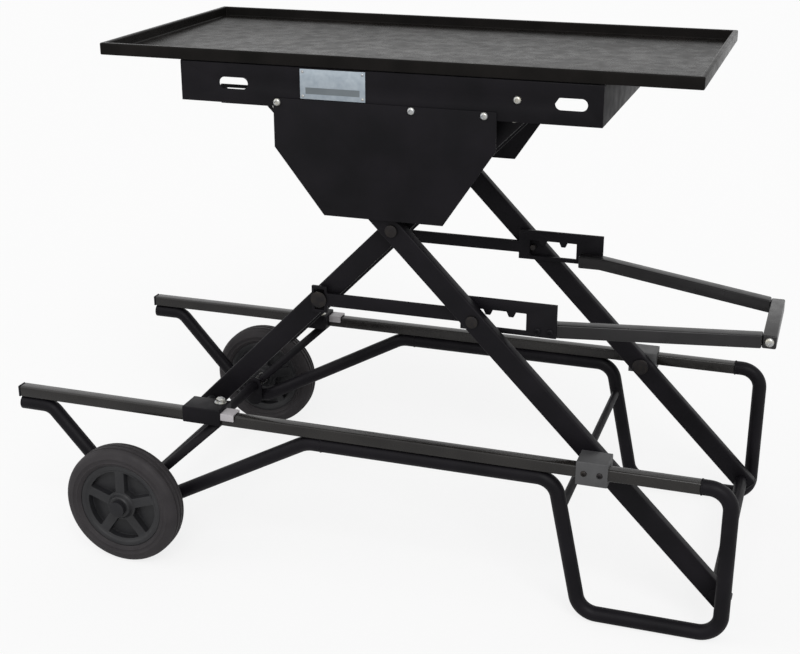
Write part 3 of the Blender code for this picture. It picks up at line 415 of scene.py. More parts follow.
weld_places = (("loop", (rail_high.x, to_left.y, rail_z), (1, 0, 0), TUBE_RADIUS - BEAD / 2),
               ("loop_bar", (bar_middle.x, to_left.y + TUBE_RADIUS, bar_middle.z), (0, 1, 0), bar_radius),
               ("strut", (strut_front, to_left.y, tube_z), (1, 0, 0), TUBE_RADIUS - BEAD / 2),
               ("brace", brace_foot + brace_way * BEAD + to_left, brace_way, BRACE_RADIUS - BEAD / 2))
for place, centre, way, radius in weld_places:
    for side, bead in pair(weld_ring(centre, way, radius)):
        fit(bead, "weld_" + place + "_" + side, "base", "black_powder_coat", powder_coat)

# Axle and wheel caps: a zinc-plated steel bar through both lugs, with a spacer shoulder beside each wheel.
# A coated sleeve covers it between the lugs, and a cap is knocked onto each end to keep the wheel on.
BAR_EDGE = 0.0008
CAP_CROWN = 0.003
CAP_STEPS = 4
AXLE_RADIUS = 0.008
SLEEVE_ROOM = 0.0002
SLEEVE_WALL = 0.0014
SLEEVE_LIP = 0.4
STAIN_MM = 9
STAIN_SPAN = (0.3, 0.7)
STAIN_SMOOTHER = 0.08
STAIN_DULLER = 0.12
LATHE_START = 0.001


def metal(name, colour, tint, roughness):
    """Plated, blackened or anodised metal: faint colour clouds and fine marks in its gloss."""
    finish = bpy.data.materials.new(name)
    finish.use_nodes = True
    tree = finish.node_tree
    shader = tree.nodes["Principled BSDF"]
    shader.inputs["Metallic"].default_value = 1.0
    place = add_node(tree, "TexCoord").outputs["Object"]
    stain = add_node(tree, "TexNoise", {"Scale": MM_PER_METRE / STAIN_MM, "Detail": 5.0}, Vector=place)
    shade = add_node(tree, "ValToRGB", stops=zip(STAIN_SPAN, (colour, tint)), Fac=stain.outputs["Fac"])
    tree.links.new(shade.outputs["Color"], shader.inputs["Base Color"])
    gloss = add_node(tree, "MapRange", {"To Min": roughness - STAIN_SMOOTHER,
                                        "To Max": roughness + STAIN_DULLER}, Value=stain.outputs["Fac"])
    tree.links.new(gloss.outputs["Result"], shader.inputs["Roughness"])
    return finish


# Bright zinc plate: pale grey with blue and straw clouds
zinc_plate = metal("bright_zinc_plate", "#a9acb2", "#b9b6aa", roughness=0.36)
axle_bar = softened("wheel_axle", BAR_EDGE)
fit(axle_bar, "axle_bar", "base", "zinc_plated_steel", zinc_plate, "wheel_axle")


def lathe(outline, centre, steps):
    """Outline of (radius, offset) points drawn by extruding a point, then spun round the cross axis."""
    bpy.ops.object.select_all(action="DESELECT")
    centre = Vector(centre)
    points = [centre + Vector((radius, offset, 0.0)) for radius, offset in outline]
    bpy.ops.mesh.primitive_plane_add(size=LATHE_START, location=points[0])
    turning = bpy.context.object
    bpy.ops.object.transform_apply(location=True, rotation=True, scale=True)
    bpy.ops.object.mode_set(mode="EDIT")
    bpy.ops.mesh.select_all(action="SELECT")
    bpy.ops.mesh.merge(type="CENTER")
    for here, there in zip(points, points[1:]):
        bpy.ops.mesh.extrude_region_move(TRANSFORM_OT_translate={"value": there - here})
    bpy.ops.mesh.select_all(action="SELECT")
    bpy.ops.mesh.spin(steps=steps, angle=2 * math.pi, center=centre, axis=(0, 1, 0))
    bpy.ops.mesh.select_all(action="SELECT")
    bpy.ops.mesh.remove_doubles(threshold=SEAM_MERGE)
    bpy.ops.mesh.normals_make_consistent(inside=False)
    sort_mesh(turning)
    bpy.ops.object.mode_set(mode="OBJECT")
    bpy.ops.object.shade_smooth_by_angle(angle=SMOOTH_ANGLE)
    return turning


def sleeve(start, end, bore):
    """Thin tube along the cross axis, with a rounded lip at both ends."""
    bore += SLEEVE_ROOM
    outside = bore + SLEEVE_WALL
    half = (end - start).length / 2
    lip = SLEEVE_WALL * SLEEVE_LIP
    outline = [(bore, -half), (bore, half), (outside - lip, half), (outside, half - lip),
               (outside, lip - half), (outside - lip, -half), (bore, -half)]
    return lathe(outline, (start + end) / 2, TUBE_SIDES)


lug_way = Vector((0.0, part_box("axle_lug_right")[0].y - SEAT, 0.0))
axle_sleeve = sleeve(axle - lug_way, axle + lug_way, AXLE_RADIUS)
fit(axle_sleeve, "axle_sleeve", "base", "black_powder_coat", powder_coat)
for side, _ in SIDES:
    cap = softened("axle_cap_" + side, CAP_CROWN, CAP_STEPS)
    fit(cap, "wheel_cap_" + side, "base", "black_moulding", black_moulding, "axle_cap_" + side)

# Tyres: solid black rubber, moulded in a ring with three round grooves in the tread.
# The sidewall has two raised ribs and a rounded shoulder, and sits in the wheel's shallow seat.
TYRE_SECTION = ((0.0760, 0.0180), (0.0785, 0.0204), (0.0812, 0.0214), (0.0820, 0.0222), (0.0832, 0.0222),
                (0.0840, 0.0216), (0.0890, 0.0220), (0.0898, 0.0227), (0.0910, 0.0227), (0.0918, 0.0221),
                (0.0970, 0.0213), (0.1015, 0.0186), (0.1044, 0.0150), (0.1054, 0.0118), (0.1030, 0.0108),
                (0.1030, 0.0086), (0.1058, 0.0076), (0.1060, 0.0024), (0.1036, 0.0014))
WHEEL_STEPS = 80


def ring_outline(section):
    """One half of a section and its mirror image, closed into a ring."""
    whole = list(section) + [(radius, -offset) for radius, offset in reversed(section)]
    return whole + whole[:1]


# Solid tyre rubber: matt, dusty grey-black, with a fine grain from its mould
tyre_rubber = painted("moulded_tyre_rubber", "#201d1f", "#2c292b", roughness=0.66, ior=1.38, grain_mm=2.5,
                      bump_mm=0.12)
left_hub = Vector(joints["wheel_left_spin"]["pos_m"])
for side, tyre in pair(lathe(ring_outline(TYRE_SECTION), left_hub, WHEEL_STEPS)):
    fit(tyre, "tyre_ring_" + side, "wheel_" + side, "tyre_rubber", tyre_rubber, "tyre_" + side)

# Wheel centres: one moulding in dark polypropylene, a hub and a rim joined by five broad spokes.
# A thin web closes the rounded pockets between the spokes, and a nylon bush lines the hub.
RIM_SECTION = ((0.0118, 0.0240), (0.0180, 0.0240), (0.0200, 0.0222), (0.0206, 0.0185), (0.0235, 0.0156),
               (0.0600, 0.0140), (0.0655, 0.0150), (0.0678, 0.0168), (0.0698, 0.0180), (0.0752, 0.0180),
               (0.0757, 0.0172))
POCKET_IN = 0.0265
POCKET_OUT = 0.0630
POCKET_CORNER = 0.0055
POCKET_CORNER_STEPS = 5
POCKET_TOP = 0.030
POCKET_FLOOR = 0.0015
CORNER_ANGLE = math.radians(30)
ALONG_AXLE = 0.99
SPOKE_HALF = 0.0085
SPOKE_COUNT = 5
SPOKE_SHIFT = 0.25
RIM_EDGE = 0.0008
RIM_EDGE_STEPS = 2
RIM_EDGE_ANGLE = 50
RIM_MERGE = 0.0004
BUSH_EDGE = 0.0005

# Moulded polypropylene: charcoal, with a soft sheen that shows the spokes against their pockets
rim_moulding = painted("moulded_charcoal_polypropylene", "#1b1b1d", "#262628", roughness=0.44, ior=1.38,
                       grain_mm=2.0, bump_mm=0.05)

# Moulded nylon: mid-grey and satin, seen only at the ends of the bushes and slides
nylon = painted("moulded_grey_nylon", "#8f8f8d", "#a3a3a0", roughness=0.5, ior=1.45, grain_mm=2.0,
                bump_mm=0.05)


def rim_pocket(hub, turn, face):
    """Rounded pocket between two spokes on one face of the wheel, as a cutter."""
    outline = [(POCKET_IN, POCKET_TOP), (POCKET_OUT, POCKET_TOP), (POCKET_OUT, POCKET_FLOOR),
               (POCKET_IN, POCKET_FLOOR), (POCKET_IN, POCKET_TOP)]
    pocket = lathe([(radius, face * offset) for radius, offset in outline], hub, WHEEL_STEPS)
    bpy.ops.object.mode_set(mode="EDIT")
    for angle, flip in ((turn, 1), (turn + 2 * math.pi / SPOKE_COUNT, -1)):
        edge_way = Vector((-math.sin(angle), 0.0, math.cos(angle))) * flip
        bpy.ops.mesh.select_all(action="SELECT")
        bpy.ops.mesh.bisect(plane_co=hub + edge_way * SPOKE_HALF, plane_no=edge_way, use_fill=True,
                            clear_inner=True)
    sort_mesh(pocket)
    mesh = bmesh.from_edit_mesh(pocket.data)
    bpy.ops.mesh.select_all(action="DESELECT")
    for edge in mesh.edges:
        along = (edge.verts[0].co - edge.verts[1].co).normalized()
        sharp = len(edge.link_faces) == 2 and edge.calc_face_angle(0.0) > CORNER_ANGLE
        edge.select = sharp and abs(along.y) > ALONG_AXLE
    bmesh.update_edit_mesh(pocket.data)
    bpy.ops.mesh.bevel(offset=POCKET_CORNER, segments=POCKET_CORNER_STEPS, affect="EDGES")
    sort_mesh(pocket)
    bpy.ops.object.mode_set(mode="OBJECT")
    return pocket


left_rim = lathe(ring_outline(RIM_SECTION), left_hub, WHEEL_STEPS)
for face in (-1, 1):
    for i in range(SPOKE_COUNT):
        pocket = rim_pocket(left_hub, 2 * math.pi * (i + SPOKE_SHIFT) / SPOKE_COUNT, face)
        apply_modifier(left_rim, "BOOLEAN", operation="DIFFERENCE", object=pocket)
        bpy.data.objects.remove(pocket)
clean_faces(left_rim, RIM_MERGE)
round_edges(left_rim, RIM_EDGE, RIM_EDGE_STEPS, RIM_EDGE_ANGLE)
for side, rim in pair(left_rim):
    fit(rim, "wheel_centre_" + side, "wheel_" + side, "black_moulding", rim_moulding, "wheel_rim_" + side)
for side, _ in SIDES:
    bush = softened("wheel_bush_" + side, BUSH_EDGE)
    fit(bush, "hub_bush_" + side, "wheel_" + side, "grey_nylon", nylon, "wheel_bush_" + side)

# Pivot blocks: cast blocks slid over the rails and held by button screws, in a paler grey than the frame.
# Each holds a short blackened steel pin, and the outer leg swings on it.
BLOCK_EDGE = 0.0016
BLOCK_EDGE_STEPS = 3
CLAMP_SCREW = (0.0050, 0.0022)
SCREW_PAIR = (("rear", 0.25), ("front", 0.75))
SCREW_OUTLINE = ((0.0, 0.35), (0.42, 0.35), (0.45, 1.0), (0.70, 0.88), (0.93, 0.45), (1.0, 0.0), (0.0, 0.0))
SCREW_STEPS = 32

# Black-oxide steel: nearly black, with a brown-blue cast and the sheen of oil
black_oxide = metal("black_oxide_steel", "#2b2a2c", "#353230", roughness=0.42)

# Phosphated casting: mid-grey, matt and slightly mottled
cast_grey = painted("phosphated_casting", "#3a3a3b", "#4a4a4b", roughness=0.5, ior=1.45, grain_mm=3.0,
                    bump_mm=0.12)


def button_screw(radius, height):
    """Button-head screw with a round socket, turned once at the origin to be copied to its places."""
    return lathe([(radius * out, height * up) for out, up in SCREW_OUTLINE], (0, 0, 0), SCREW_STEPS)


def set_screw(screw, place, sign):
    """Copy of a screw, with its head outwards on the left or the right side."""
    turn = Vector((0, 1, 0)).rotation_difference(Vector((0, sign, 0))).to_matrix().to_4x4()
    return placed_copy(screw, Matrix.Translation(place) @ turn)


def outer_face(node, sign):
    """Place across the stand of a node's outer face."""
    low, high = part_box(node)
    return low.y if sign < 0 else high.y


clamp_screw = button_screw(*CLAMP_SCREW)
for side, sign in SIDES:
    pivot_block = softened("pivot_block_" + side, BLOCK_EDGE, BLOCK_EDGE_STEPS)
    fit(pivot_block, "pivot_clamp_" + side, "base", "black_powder_coat", cast_grey, "pivot_block_" + side)
    low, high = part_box("pivot_block_" + side)
    for end, share in SCREW_PAIR:
        place = (low.x + (high.x - low.x) * share, outer_face("pivot_block_" + side, sign), rail_z)
        fit(set_screw(clamp_screw, place, sign), "clamp_screw_" + end + "_" + side, "base",
            "blackened_steel", black_oxide)
    pivot_pin = softened("pivot_pin_" + side, BAR_EDGE)
    fit(pivot_pin, "pivot_stud_" + side, "base", "blackened_steel", black_oxide, "pivot_pin_" + side)
bpy.data.objects.remove(clamp_screw)

# Scissor legs: rectangular steel tube with rounded corners, drilled for its pins and powder-coated.
# Moulded plugs close both ends of each leg.
LEG_CORNER = 0.003
LEG_DEPTH = 0.035
LEG_PLUG = 0.003
PLUG_STEP = 0.0006


def sloped_tube(node, depth, way):
    """Tube and end plugs of a leg, which fills a packed leg's box along a slope."""
    low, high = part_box(node)
    rise = math.atan2(way.z, way.x)
    slope = min(abs(rise), math.pi - abs(rise))
    half = (high.x - low.x - depth * math.sin(slope)) / math.cos(slope) / 2
    place = Matrix.Translation((low + high) / 2) @ Matrix.Rotation(-rise, 4, "Y")
    width = high.y - low.y
    shapes = []
    for start, end, step, corner in ((-half + LEG_PLUG, half - LEG_PLUG, 0.0, LEG_CORNER),
                                     (-half, -half + LEG_PLUG, PLUG_STEP, PLUG_CROWN),
                                     (half - LEG_PLUG, half, PLUG_STEP, PLUG_CROWN)):
        corner_way = Vector((0.0, width / 2 - step, depth / 2 - step))
        shape = block(Vector((start, 0, 0)) - corner_way, Vector((end, 0, 0)) + corner_way)
        shape.data.transform(place)
        round_edges(shape, corner)
        shapes.append(shape)
    return shapes


cross = Vector(joints["cross_turn"]["pos_m"])
leg_ways = {"outer_leg": cross - Vector(joints["fold"]["pos_m"]),
            "inner_leg": Vector(joints["table_turn"]["pos_m"]) - cross}
for leg, way in leg_ways.items():
    left_tube, left_foot_plug, left_head_plug = sloped_tube(leg + "_left", LEG_DEPTH, way)
    for side, tube in pair(left_tube):
        fit(tube, leg + "_tube_" + side, leg + "s", "black_powder_coat", powder_coat, leg + "_" + side,
            edge=coat_edge)
    for side, plug in pair(left_foot_plug):
        fit(plug, leg + "_foot_plug_" + side, leg + "s", "black_moulding", black_moulding)
    for side, plug in pair(left_head_plug):
        fit(plug, leg + "_head_plug_" + side, leg + "s", "black_moulding", black_moulding)

# Pins and bars of the scissors: steel turned on a lathe, through the drilled legs, with flat round heads.
# The cross bars are zinc-plated and the pins blackened; the foot bar is coated like the legs it joins.
PIN_EDGE = 0.0003
BAR_PROUD = 0.0012
BAR_END_STEPS = 2
BAR_END_ANGLE = 50
CROSS_BARS = (("slide_axle", "outer_legs"), ("hinge_axle", "inner_legs"), ("carriage_axle", "carriage"))
PINS = (("scissor_pin", "outer_legs"), ("lock_peg", "outer_legs"), ("lock_pivot_pin", "inner_legs"))
for bar_node, body in CROSS_BARS:
    bar = softened(bar_node, BAR_EDGE)
    fit(bar, bar_node + "_bar", body, "zinc_plated_steel", zinc_plate, bar_node)
for pin, body in PINS:
    for side, _ in SIDES:
        turned_pin = softened(pin + "_" + side, PIN_EDGE)
        fit(turned_pin, pin + "_steel_" + side, body, "blackened_steel", black_oxide, pin + "_" + side)
low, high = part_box("foot_bar")
middle = (low + high) / 2
foot_bar = bent_tube([(middle.x, low.y - BAR_PROUD, middle.z), (middle.x, high.y + BAR_PROUD, middle.z)],
                     (), (high.x - low.x) / 2)
round_edges(foot_bar, BAR_PROUD / 2, BAR_END_STEPS, BAR_END_ANGLE)
fit(foot_bar, "foot_cross_bar", "outer_legs", "black_powder_coat", powder_coat, "foot_bar", edge=coat_edge)

# Carriage: steel saddles that slide along the rails under the inner legs, with a nylon guide ahead of each.
# A bolt through the saddle's top holds the guide, and sleeves on the carriage bar space the legs.
SADDLE_EDGE = 0.002
SADDLE_EDGE_STEPS = 3
GUIDE_LENGTH = 0.024
GUIDE_WALL = 0.003
GUIDE_SIDE = 0.009
GUIDE_ROOM = 0.0006
GUIDE_EDGE = 0.001
CHANNEL_SPARE = 0.010
BOLT_BACK = 0.014
BOLT_IN = 0.012
BOLT_ACROSS = 0.013
BOLT_HEIGHT = 0.006
BOLT_EDGE = 0.0003
BOLT_EDGE_STEPS = 2
BOLT_EDGE_ANGLE = 15
CROWN_INSET = 0.1
CROWN_RISE = 0.12
WASHER_RADIUS = 0.0105
WASHER_HEIGHT = 0.0016
WASHER_EDGE = 0.0004
FACES_UP = 0.9
CARRIAGE_BAR_RADIUS = 0.007
SLIDE_EDGE = 0.0008

# Pale moulded nylon: a slightly warm pale grey, satin
pale_nylon = painted("moulded_natural_nylon", "#a5a1a4", "#b6b3b4", roughness=0.45, ior=1.5, grain_mm=2.0,
                     bump_mm=0.05)


def hex_bolt(place):
    """Hexagon head with a chamfered crown on a round washer, set on a level face."""
    bpy.ops.object.select_all(action="DESELECT")
    bpy.ops.mesh.primitive_cylinder_add(vertices=SCREW_STEPS, radius=WASHER_RADIUS, depth=WASHER_HEIGHT,
                                        location=(0, 0, WASHER_HEIGHT / 2))
    washer = bpy.context.object
    round_edges(washer, WASHER_EDGE, BOLT_EDGE_STEPS)
    bpy.ops.object.select_all(action="DESELECT")
    bpy.ops.mesh.primitive_cylinder_add(vertices=6, radius=BOLT_ACROSS / math.sqrt(3), depth=BOLT_HEIGHT,
                                        location=(0, 0, WASHER_HEIGHT + BOLT_HEIGHT / 2))
    head = bpy.context.object
    bpy.ops.object.mode_set(mode="EDIT")
    mesh = bmesh.from_edit_mesh(head.data)
    for face in mesh.faces:
        face.select = face.normal.z > FACES_UP
    bmesh.update_edit_mesh(head.data)
    bpy.ops.mesh.inset(thickness=BOLT_ACROSS * CROWN_INSET, depth=BOLT_HEIGHT * CROWN_RISE)
    bpy.ops.object.mode_set(mode="OBJECT")
    round_edges(head, BOLT_EDGE, BOLT_EDGE_STEPS, BOLT_EDGE_ANGLE)
    washer.select_set(True)
    bpy.ops.object.transform_apply(location=True, rotation=True, scale=True)
    bpy.ops.object.join()
    head.data.transform(Matrix.Translation(place))
    return head


carriage = Vector(joints["carriage_turn"]["pos_m"])
leg_gap = Vector((0.0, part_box("inner_leg_right")[0].y - SEAT, 0.0))
bar_sleeve = sleeve(carriage - leg_gap, carriage + leg_gap, CARRIAGE_BAR_RADIUS)
fit(bar_sleeve, "carriage_sleeve", "carriage", "black_moulding", black_moulding)
saddle_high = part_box("rail_shoe_left")[1]
guide_rear = saddle_high.x + SEAT
guide_top = rail_high.z + GUIDE_ROOM
guide_low_y = rail_low.y - GUIDE_ROOM
guide_high_y = rail_high.y + GUIDE_ROOM
left_guide = block((guide_rear, guide_low_y - GUIDE_WALL, rail_high.z - GUIDE_SIDE),
                   (guide_rear + GUIDE_LENGTH, guide_high_y + GUIDE_WALL, guide_top + GUIDE_WALL))
channel = block((saddle_high.x - CHANNEL_SPARE, guide_low_y, rail_low.z - CHANNEL_SPARE),
                (saddle_high.x + 2 * GUIDE_LENGTH, guide_high_y, guide_top))
apply_modifier(left_guide, "BOOLEAN", operation="DIFFERENCE", object=channel)
bpy.data.objects.remove(channel)
round_edges(left_guide, GUIDE_EDGE)
for side, guide in pair(left_guide):
    fit(guide, "saddle_guide_" + side, "carriage", "grey_nylon", pale_nylon)
left_bolt = hex_bolt((saddle_high.x - BOLT_BACK, saddle_high.y - BOLT_IN, saddle_high.z))
for side, bolt in pair(left_bolt):
    fit(bolt, "saddle_bolt_" + side, "carriage", "zinc_plated_steel", zinc_plate)
leg_y = outer_face("inner_leg_left", -1)
left_spacer = sleeve(Vector((carriage.x, saddle_high.y + SEAT, carriage.z)),
                     Vector((carriage.x, leg_y - SEAT, carriage.z)), CARRIAGE_BAR_RADIUS)
for side, spacer in pair(left_spacer):
    fit(spacer, "leg_spacer_" + side, "carriage", "black_moulding", black_moulding)
for side, _ in SIDES:
    shoe = softened("rail_shoe_" + side, SADDLE_EDGE, SADDLE_EDGE_STEPS)
    fit(shoe, "saddle_" + side, "carriage", "black_powder_coat", powder_coat, "rail_shoe_" + side,
        edge=coat_edge)
    slide = softened("slide_shoe_" + side, SLIDE_EDGE)
    fit(slide, "slide_block_" + side, "slides", "grey_nylon", nylon, "slide_shoe_" + side)

# Lock plates: laser-cut steel with a toothed slot, hung on nylon blocks at the inner legs.
# Their teeth drop over the pegs of the outer legs and hold the height.
DIE_EDGE = 0.0006
TOOTH_EDGE = 0.0008
for side, _ in SIDES:
    lock_block = softened("lock_block_" + side, DIE_EDGE)
    fit(lock_block, "lock_die_" + side, "lock_blocks", "grey_nylon", nylon, "lock_block_" + side)
    lock_plate = softened("lock_plate_" + side, TOOTH_EDGE)
    fit(lock_plate, "tooth_plate_" + side, "lock", "black_powder_coat", powder_coat, "lock_plate_" + side,
        edge=coat_edge)

# Handle: two square tubes bolted inside the lock plates, drawn in to a short bar across their ends.
# A zinc screw in each end of the bar holds the tubes, and lifting the bar lifts both plates.
HANDLE_EDGE = 0.0024
HANDLE_EDGE_STEPS = 3
ARM_SCREW = (0.0060, 0.0030)
ARM_SCREW_DROP = 0.011
END_SCREW = (0.0075, 0.0030)

# Satin enamel on the handle: a touch paler and glossier than the powder coat, from being held
handle_coat = painted("satin_handle_enamel", "#171617", "#212021", roughness=0.3, ior=1.36, grain_mm=3.0,
                      bump_mm=0.05)
arm_screw = button_screw(*ARM_SCREW)
for side, sign in SIDES:
    arm = softened("handle_arm_" + side, HANDLE_EDGE, HANDLE_EDGE_STEPS)
    fit(arm, "handle_tube_" + side, "lock", "black_powder_coat", handle_coat, "handle_arm_" + side,
        edge=enamel_edge)
    arm_low, arm_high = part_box("handle_arm_" + side)
    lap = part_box("lock_plate_" + side)[1].x - arm_low.x
    face_y = outer_face("lock_plate_" + side, sign)
    for end, share in SCREW_PAIR:
        place = (arm_low.x + lap * share, face_y, arm_high.z - ARM_SCREW_DROP)
        fit(set_screw(arm_screw, place, sign), "arm_screw_" + end + "_" + side, "lock",
            "black_powder_coat", powder_coat)
bpy.data.objects.remove(arm_screw)
grip = softened("handle_bar", HANDLE_EDGE, HANDLE_EDGE_STEPS)
fit(grip, "handle_grip", "lock", "black_powder_coat", handle_coat, "handle_bar", edge=enamel_edge)
low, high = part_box("handle_bar")
middle = (low + high) / 2
end_screw = button_screw(*END_SCREW)
for side, sign in SIDES:
    place = (middle.x, outer_face("handle_bar", sign), middle.z)
    fit(set_screw(end_screw, place, sign), "grip_screw_" + side, "lock", "zinc_plated_steel", zinc_plate)
bpy.data.objects.remove(end_screw)

# Table frame: folded steel angles along the sides, a front end plate, and two slotted bearers between.
# All are powder-coated, and each angle has a round-ended hand slot near both ends.
SHEET_EDGE = 0.0006
SHEET_EDGE_STEPS = 2
SHEET = 0.002
FOLD_OUTSIDE = 0.0032
FOLD_INSIDE = 0.0014
FOLD_STEPS = 6
SLOT_LENGTH = 0.048
SLOT_HEIGHT = 0.018
SLOT_Z = 0.031
SLOT_REAR = 0.090
SLOT_FRONT = 0.047
SLOT_STEPS = 12
SLOT_ROUND = 0.499


def bevel_lines(piece, radius, steps, chosen):
    """Rounds the edges that a test chooses."""
    bpy.context.view_layer.objects.active = piece
    bpy.ops.object.mode_set(mode="EDIT")
    bpy.ops.mesh.select_all(action="DESELECT")
    mesh = bmesh.from_edit_mesh(piece.data)
    for edge in mesh.edges:
        edge.select = chosen((edge.verts[0].co + edge.verts[1].co) / 2, edge.verts[0].co - edge.verts[1].co)
    bmesh.update_edit_mesh(piece.data)
    bpy.ops.mesh.bevel(offset=radius, segments=steps, affect="EDGES")
    bpy.ops.object.mode_set(mode="OBJECT")


def folded_angle(node, sign):
    """Side angle folded from sheet along its upper edge, with two round-ended hand slots."""
    low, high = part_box(node)
    angle = block(low, high)
    outer_y, inner_y = (low.y, high.y) if sign < 0 else (high.y, low.y)
    web_y = outer_y - sign * SHEET
    hollow = block((low.x - SHEET, min(web_y, inner_y - sign * SHEET), low.z - SHEET),
                   (high.x + SHEET, max(web_y, inner_y - sign * SHEET), high.z - SHEET))
    apply_modifier(angle, "BOOLEAN", operation="DIFFERENCE", object=hollow)
    bpy.data.objects.remove(hollow)
    for y, z, radius in ((outer_y, high.z, FOLD_OUTSIDE), (web_y, high.z - SHEET, FOLD_INSIDE)):
        bevel_lines(angle, radius, FOLD_STEPS, lambda place, way: abs(way.x) > SLOT_LENGTH
                    and abs(place.y - y) < SEAT and abs(place.z - z) < SEAT)
    for x in (low.x + SLOT_REAR, high.x - SLOT_FRONT):
        slot = block((x - SLOT_LENGTH / 2, outer_y - 3 * SHEET, low.z + SLOT_Z - SLOT_HEIGHT / 2),
                     (x + SLOT_LENGTH / 2, outer_y + 3 * SHEET, low.z + SLOT_Z + SLOT_HEIGHT / 2))
        bevel_lines(slot, SLOT_HEIGHT * SLOT_ROUND, SLOT_STEPS, lambda place, way: abs(way.y) > SHEET)
        apply_modifier(angle, "BOOLEAN", operation="DIFFERENCE", object=slot)
        bpy.data.objects.remove(slot)
    round_edges(angle, SHEET_EDGE, SHEET_EDGE_STEPS)
    return angle


for side, sign in SIDES:
    angle = folded_angle("subframe_side_" + side, sign)
    fit(angle, "side_angle_" + side, "table", "black_powder_coat", powder_coat, "subframe_side_" + side,
        edge=coat_edge)
for sheet_node in ("bearer_left", "bearer_right", "subframe_end_front"):
    sheet = softened(sheet_node, SHEET_EDGE)
    fit(sheet, sheet_node + "_sheet", "table", "black_powder_coat", powder_coat, sheet_node, edge=coat_edge)

# Guards: flat six-sided sheet panels that cover the scissor joint, screwed to the side angles.
# Three zinc button screws hold the upper edge, and one more sits in the angle ahead of the guard.
GUARD_LAP = 0.013
GUARD_SCREW = (0.0062, 0.0035)
GUARD_SCREWS = (("rear", 0.0065), ("middle", 0.224), ("front", 0.337))
ANGLE_SCREW_AHEAD = 0.386
ANGLE_SCREW_UP = 0.033
guard_screw = button_screw(*GUARD_SCREW)
for side, sign in SIDES:
    guard = softened("guard_" + side, SHEET_EDGE)
    fit(guard, "guard_panel_" + side, "table", "black_powder_coat", powder_coat, "guard_" + side,
        edge=coat_edge)
    low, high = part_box("guard_" + side)
    for end, along in GUARD_SCREWS:
        place = (low.x + along, outer_face("guard_" + side, sign), high.z - GUARD_LAP / 2)
        fit(set_screw(guard_screw, place, sign), "guard_screw_" + end + "_" + side, "table",
            "zinc_plated_steel", zinc_plate)
    place = (low.x + ANGLE_SCREW_AHEAD, outer_face("subframe_side_" + side, sign),
             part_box("subframe_side_" + side)[0].z + ANGLE_SCREW_UP)
    fit(set_screw(guard_screw, place, sign), "angle_screw_" + side, "table", "zinc_plated_steel",
        zinc_plate)
bpy.data.objects.remove(guard_screw)

# Plate: a blank satin aluminium plate on the left side angle, held by four small rivets.
# A plain darker band runs along its lower part.
PLATE_EDGE = 0.0003
RIVET = (0.0022, 0.0010)
RIVET_INSET = 0.0045
BAND_LOW = 0.008
BAND_HEIGHT = 0.010
BAND_PROUD = 0.0001
BAND_SUNK = 0.0004
BAND_EDGE = 0.00008

# Anodised aluminium sheet: cool pale grey, softly bright
plate_metal = metal("satin_anodised_aluminium", "#98a2ab", "#a9b2b9", roughness=0.42)

# Printed band: flat grey ink, duller than the plate round it
band_ink = painted("grey_printed_band", "#5d6468", "#6b7276", roughness=0.5, ior=1.45, grain_mm=2.0,
                   bump_mm=0.02)
plate = softened("data_plate", PLATE_EDGE)
fit(plate, "blank_plate", "table", "silver_plate", plate_metal, "data_plate")
low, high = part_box("data_plate")
band = block((low.x + RIVET_INSET * 2, low.y - BAND_PROUD, low.z + BAND_LOW),
             (high.x - RIVET_INSET * 2, low.y + BAND_SUNK, low.z + BAND_LOW + BAND_HEIGHT))
round_edges(band, BAND_EDGE, segments=1)
fit(band, "plate_band", "table", "silver_plate", band_ink)
rivet = button_screw(*RIVET)
for end, x in (("rear", low.x + RIVET_INSET), ("front", high.x - RIVET_INSET)):
    for level, z in (("low", low.z + RIVET_INSET), ("high", high.z - RIVET_INSET)):
        fit(set_screw(rivet, (x, low.y, z), -1), "plate_rivet_" + end + "_" + level, "table",
            "zinc_plated_steel", zinc_plate)
bpy.data.objects.remove(rivet)

# Tray: pressed from one steel sheet, its rim drawn up and turned over, in satin black enamel.
# The floor is smooth enough to mirror the light at a low angle, and shows fine rubbing from use.
TRAY_EDGE = 0.0022
TRAY_EDGE_STEPS = 4

# Satin enamel on the tray: black from above, and a soft grey sheen from the side
tray_enamel = painted("satin_tray_enamel", "#121110", "#1b1918", roughness=0.27, ior=1.13, grain_mm=3.0,
                      bump_mm=0.03)
tray = softened("tray", TRAY_EDGE, TRAY_EDGE_STEPS)
fit(tray, "tray_pressing", "table", "tray_grey_black", tray_enamel, "tray", edge=enamel_edge)

# Studio: a wide pale floor, two broad soft suns and a white surround.
# The surround is white to the camera and in reflections, and the floor is nearly so but keeps the shadow.
FLOOR_SIZE = 60.0
FLOOR_DROP = 0.0005
FLOOR_GLOW = 0.8
SURROUND_LIGHT = 0.5
WHITE = (1.0, 1.0, 1.0, 1.0)

# Each sun's name, turn in degrees, strength, and spread in degrees
SUNS = (("key_sun", (48, 0, 25), 1.5, 35), ("fill_sun", (55, 0, -60), 0.6, 60))
bpy.ops.object.select_all(action="DESELECT")
bpy.ops.mesh.primitive_plane_add(size=FLOOR_SIZE, location=(0.0, 0.0, -FLOOR_DROP))
floor = bpy.context.object
floor.name = "studio_floor"
floor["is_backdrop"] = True

# Matt floor paint: near-white, mixed with its own white to the camera so that only shadows show
floor_paint = bpy.data.materials.new("white_studio_floor")
floor_paint.use_nodes = True
tree = floor_paint.node_tree
matt = tree.nodes["Principled BSDF"]
matt.inputs["Base Color"].default_value = to_linear("#f4f4f4")
matt.inputs["Roughness"].default_value = 0.9
matt.inputs["Specular IOR Level"].default_value = 0.1
white = add_node(tree, "Emission", {"Color": WHITE, "Strength": 1.0})
ray = add_node(tree, "LightPath")
seen = add_node(tree, "MapRange", {"To Min": 0.0, "To Max": FLOOR_GLOW}, Value=ray.outputs["Is Camera Ray"])
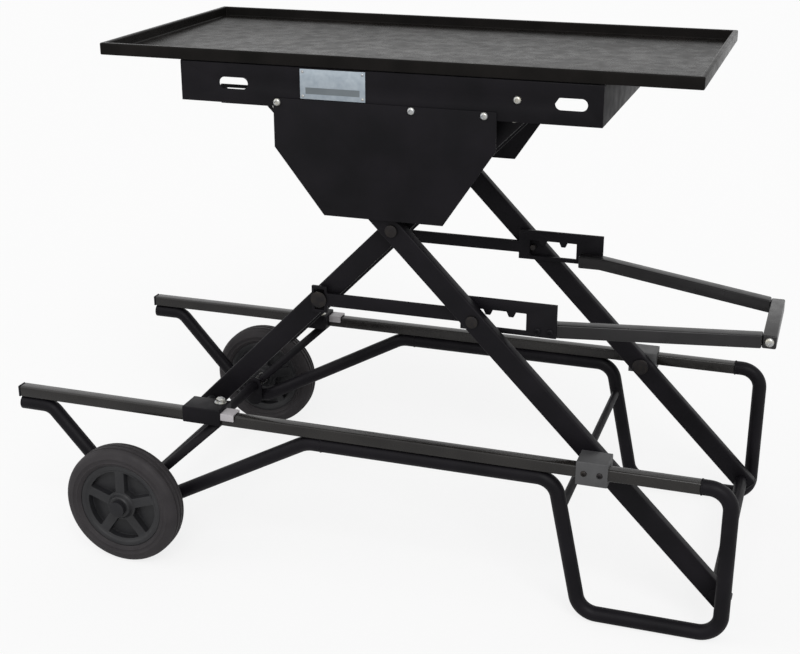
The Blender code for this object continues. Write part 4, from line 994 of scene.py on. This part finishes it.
ground = add_node(tree, "MixShader", Fac=seen.outputs["Result"])
tree.links.new(matt.outputs[0], ground.inputs[1])
tree.links.new(white.outputs[0], ground.inputs[2])
tree.links.new(ground.outputs[0], tree.nodes["Material Output"].inputs["Surface"])
floor.data.materials.append(floor_paint)

world = bpy.data.worlds.new("studio_surround")
bpy.context.scene.world = world
world.use_nodes = True
tree = world.node_tree
sky = tree.nodes["Background"]
sky.inputs["Color"].default_value = WHITE
ray = add_node(tree, "LightPath")
shown = add_node(tree, "Math", {"operation": "MAXIMUM"})
tree.links.new(ray.outputs["Is Camera Ray"], shown.inputs[0])
tree.links.new(ray.outputs["Is Glossy Ray"], shown.inputs[1])
level = add_node(tree, "MapRange", {"To Min": SURROUND_LIGHT, "To Max": 1.0}, Value=shown.outputs[0])
tree.links.new(level.outputs["Result"], sky.inputs["Strength"])

for name, turn, strength, spread in SUNS:
    lamp = bpy.data.lights.new(name, "SUN")
    lamp.energy = strength
    lamp.angle = math.radians(spread)
    sun = bpy.data.objects.new(name, lamp)
    sun.rotation_euler = [math.radians(angle) for angle in turn]
    bpy.context.scene.collection.objects.link(sun)

# Camera: stands at the photograph's viewing angle, ahead of the stand's left side and above the tray.
# Its place, turn and lens were fitted to the tray, rails, legs and wheels in a frame 800 pixels wide.
CAMERA_PLACE = (0.7126, -2.1719, 1.2277)
CAMERA_TURN = 18.46
CAMERA_DIP = 20.58
FOCAL_PIXELS = 1377.04
IMAGE_WIDTH = 800
SENSOR = 36.0
lens = bpy.data.cameras.new("photo_camera")
lens.sensor_width = SENSOR
lens.sensor_fit = "HORIZONTAL"
lens.lens = SENSOR * FOCAL_PIXELS / IMAGE_WIDTH
camera = bpy.data.objects.new("photo_camera", lens)
camera.location = CAMERA_PLACE
camera.rotation_euler = (math.radians(90 - CAMERA_DIP), 0.0, math.radians(CAMERA_TURN))
bpy.context.scene.collection.objects.link(camera)
bpy.context.scene.camera = camera
bpy.context.scene.view_settings.view_transform = "Standard"

low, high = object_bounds()
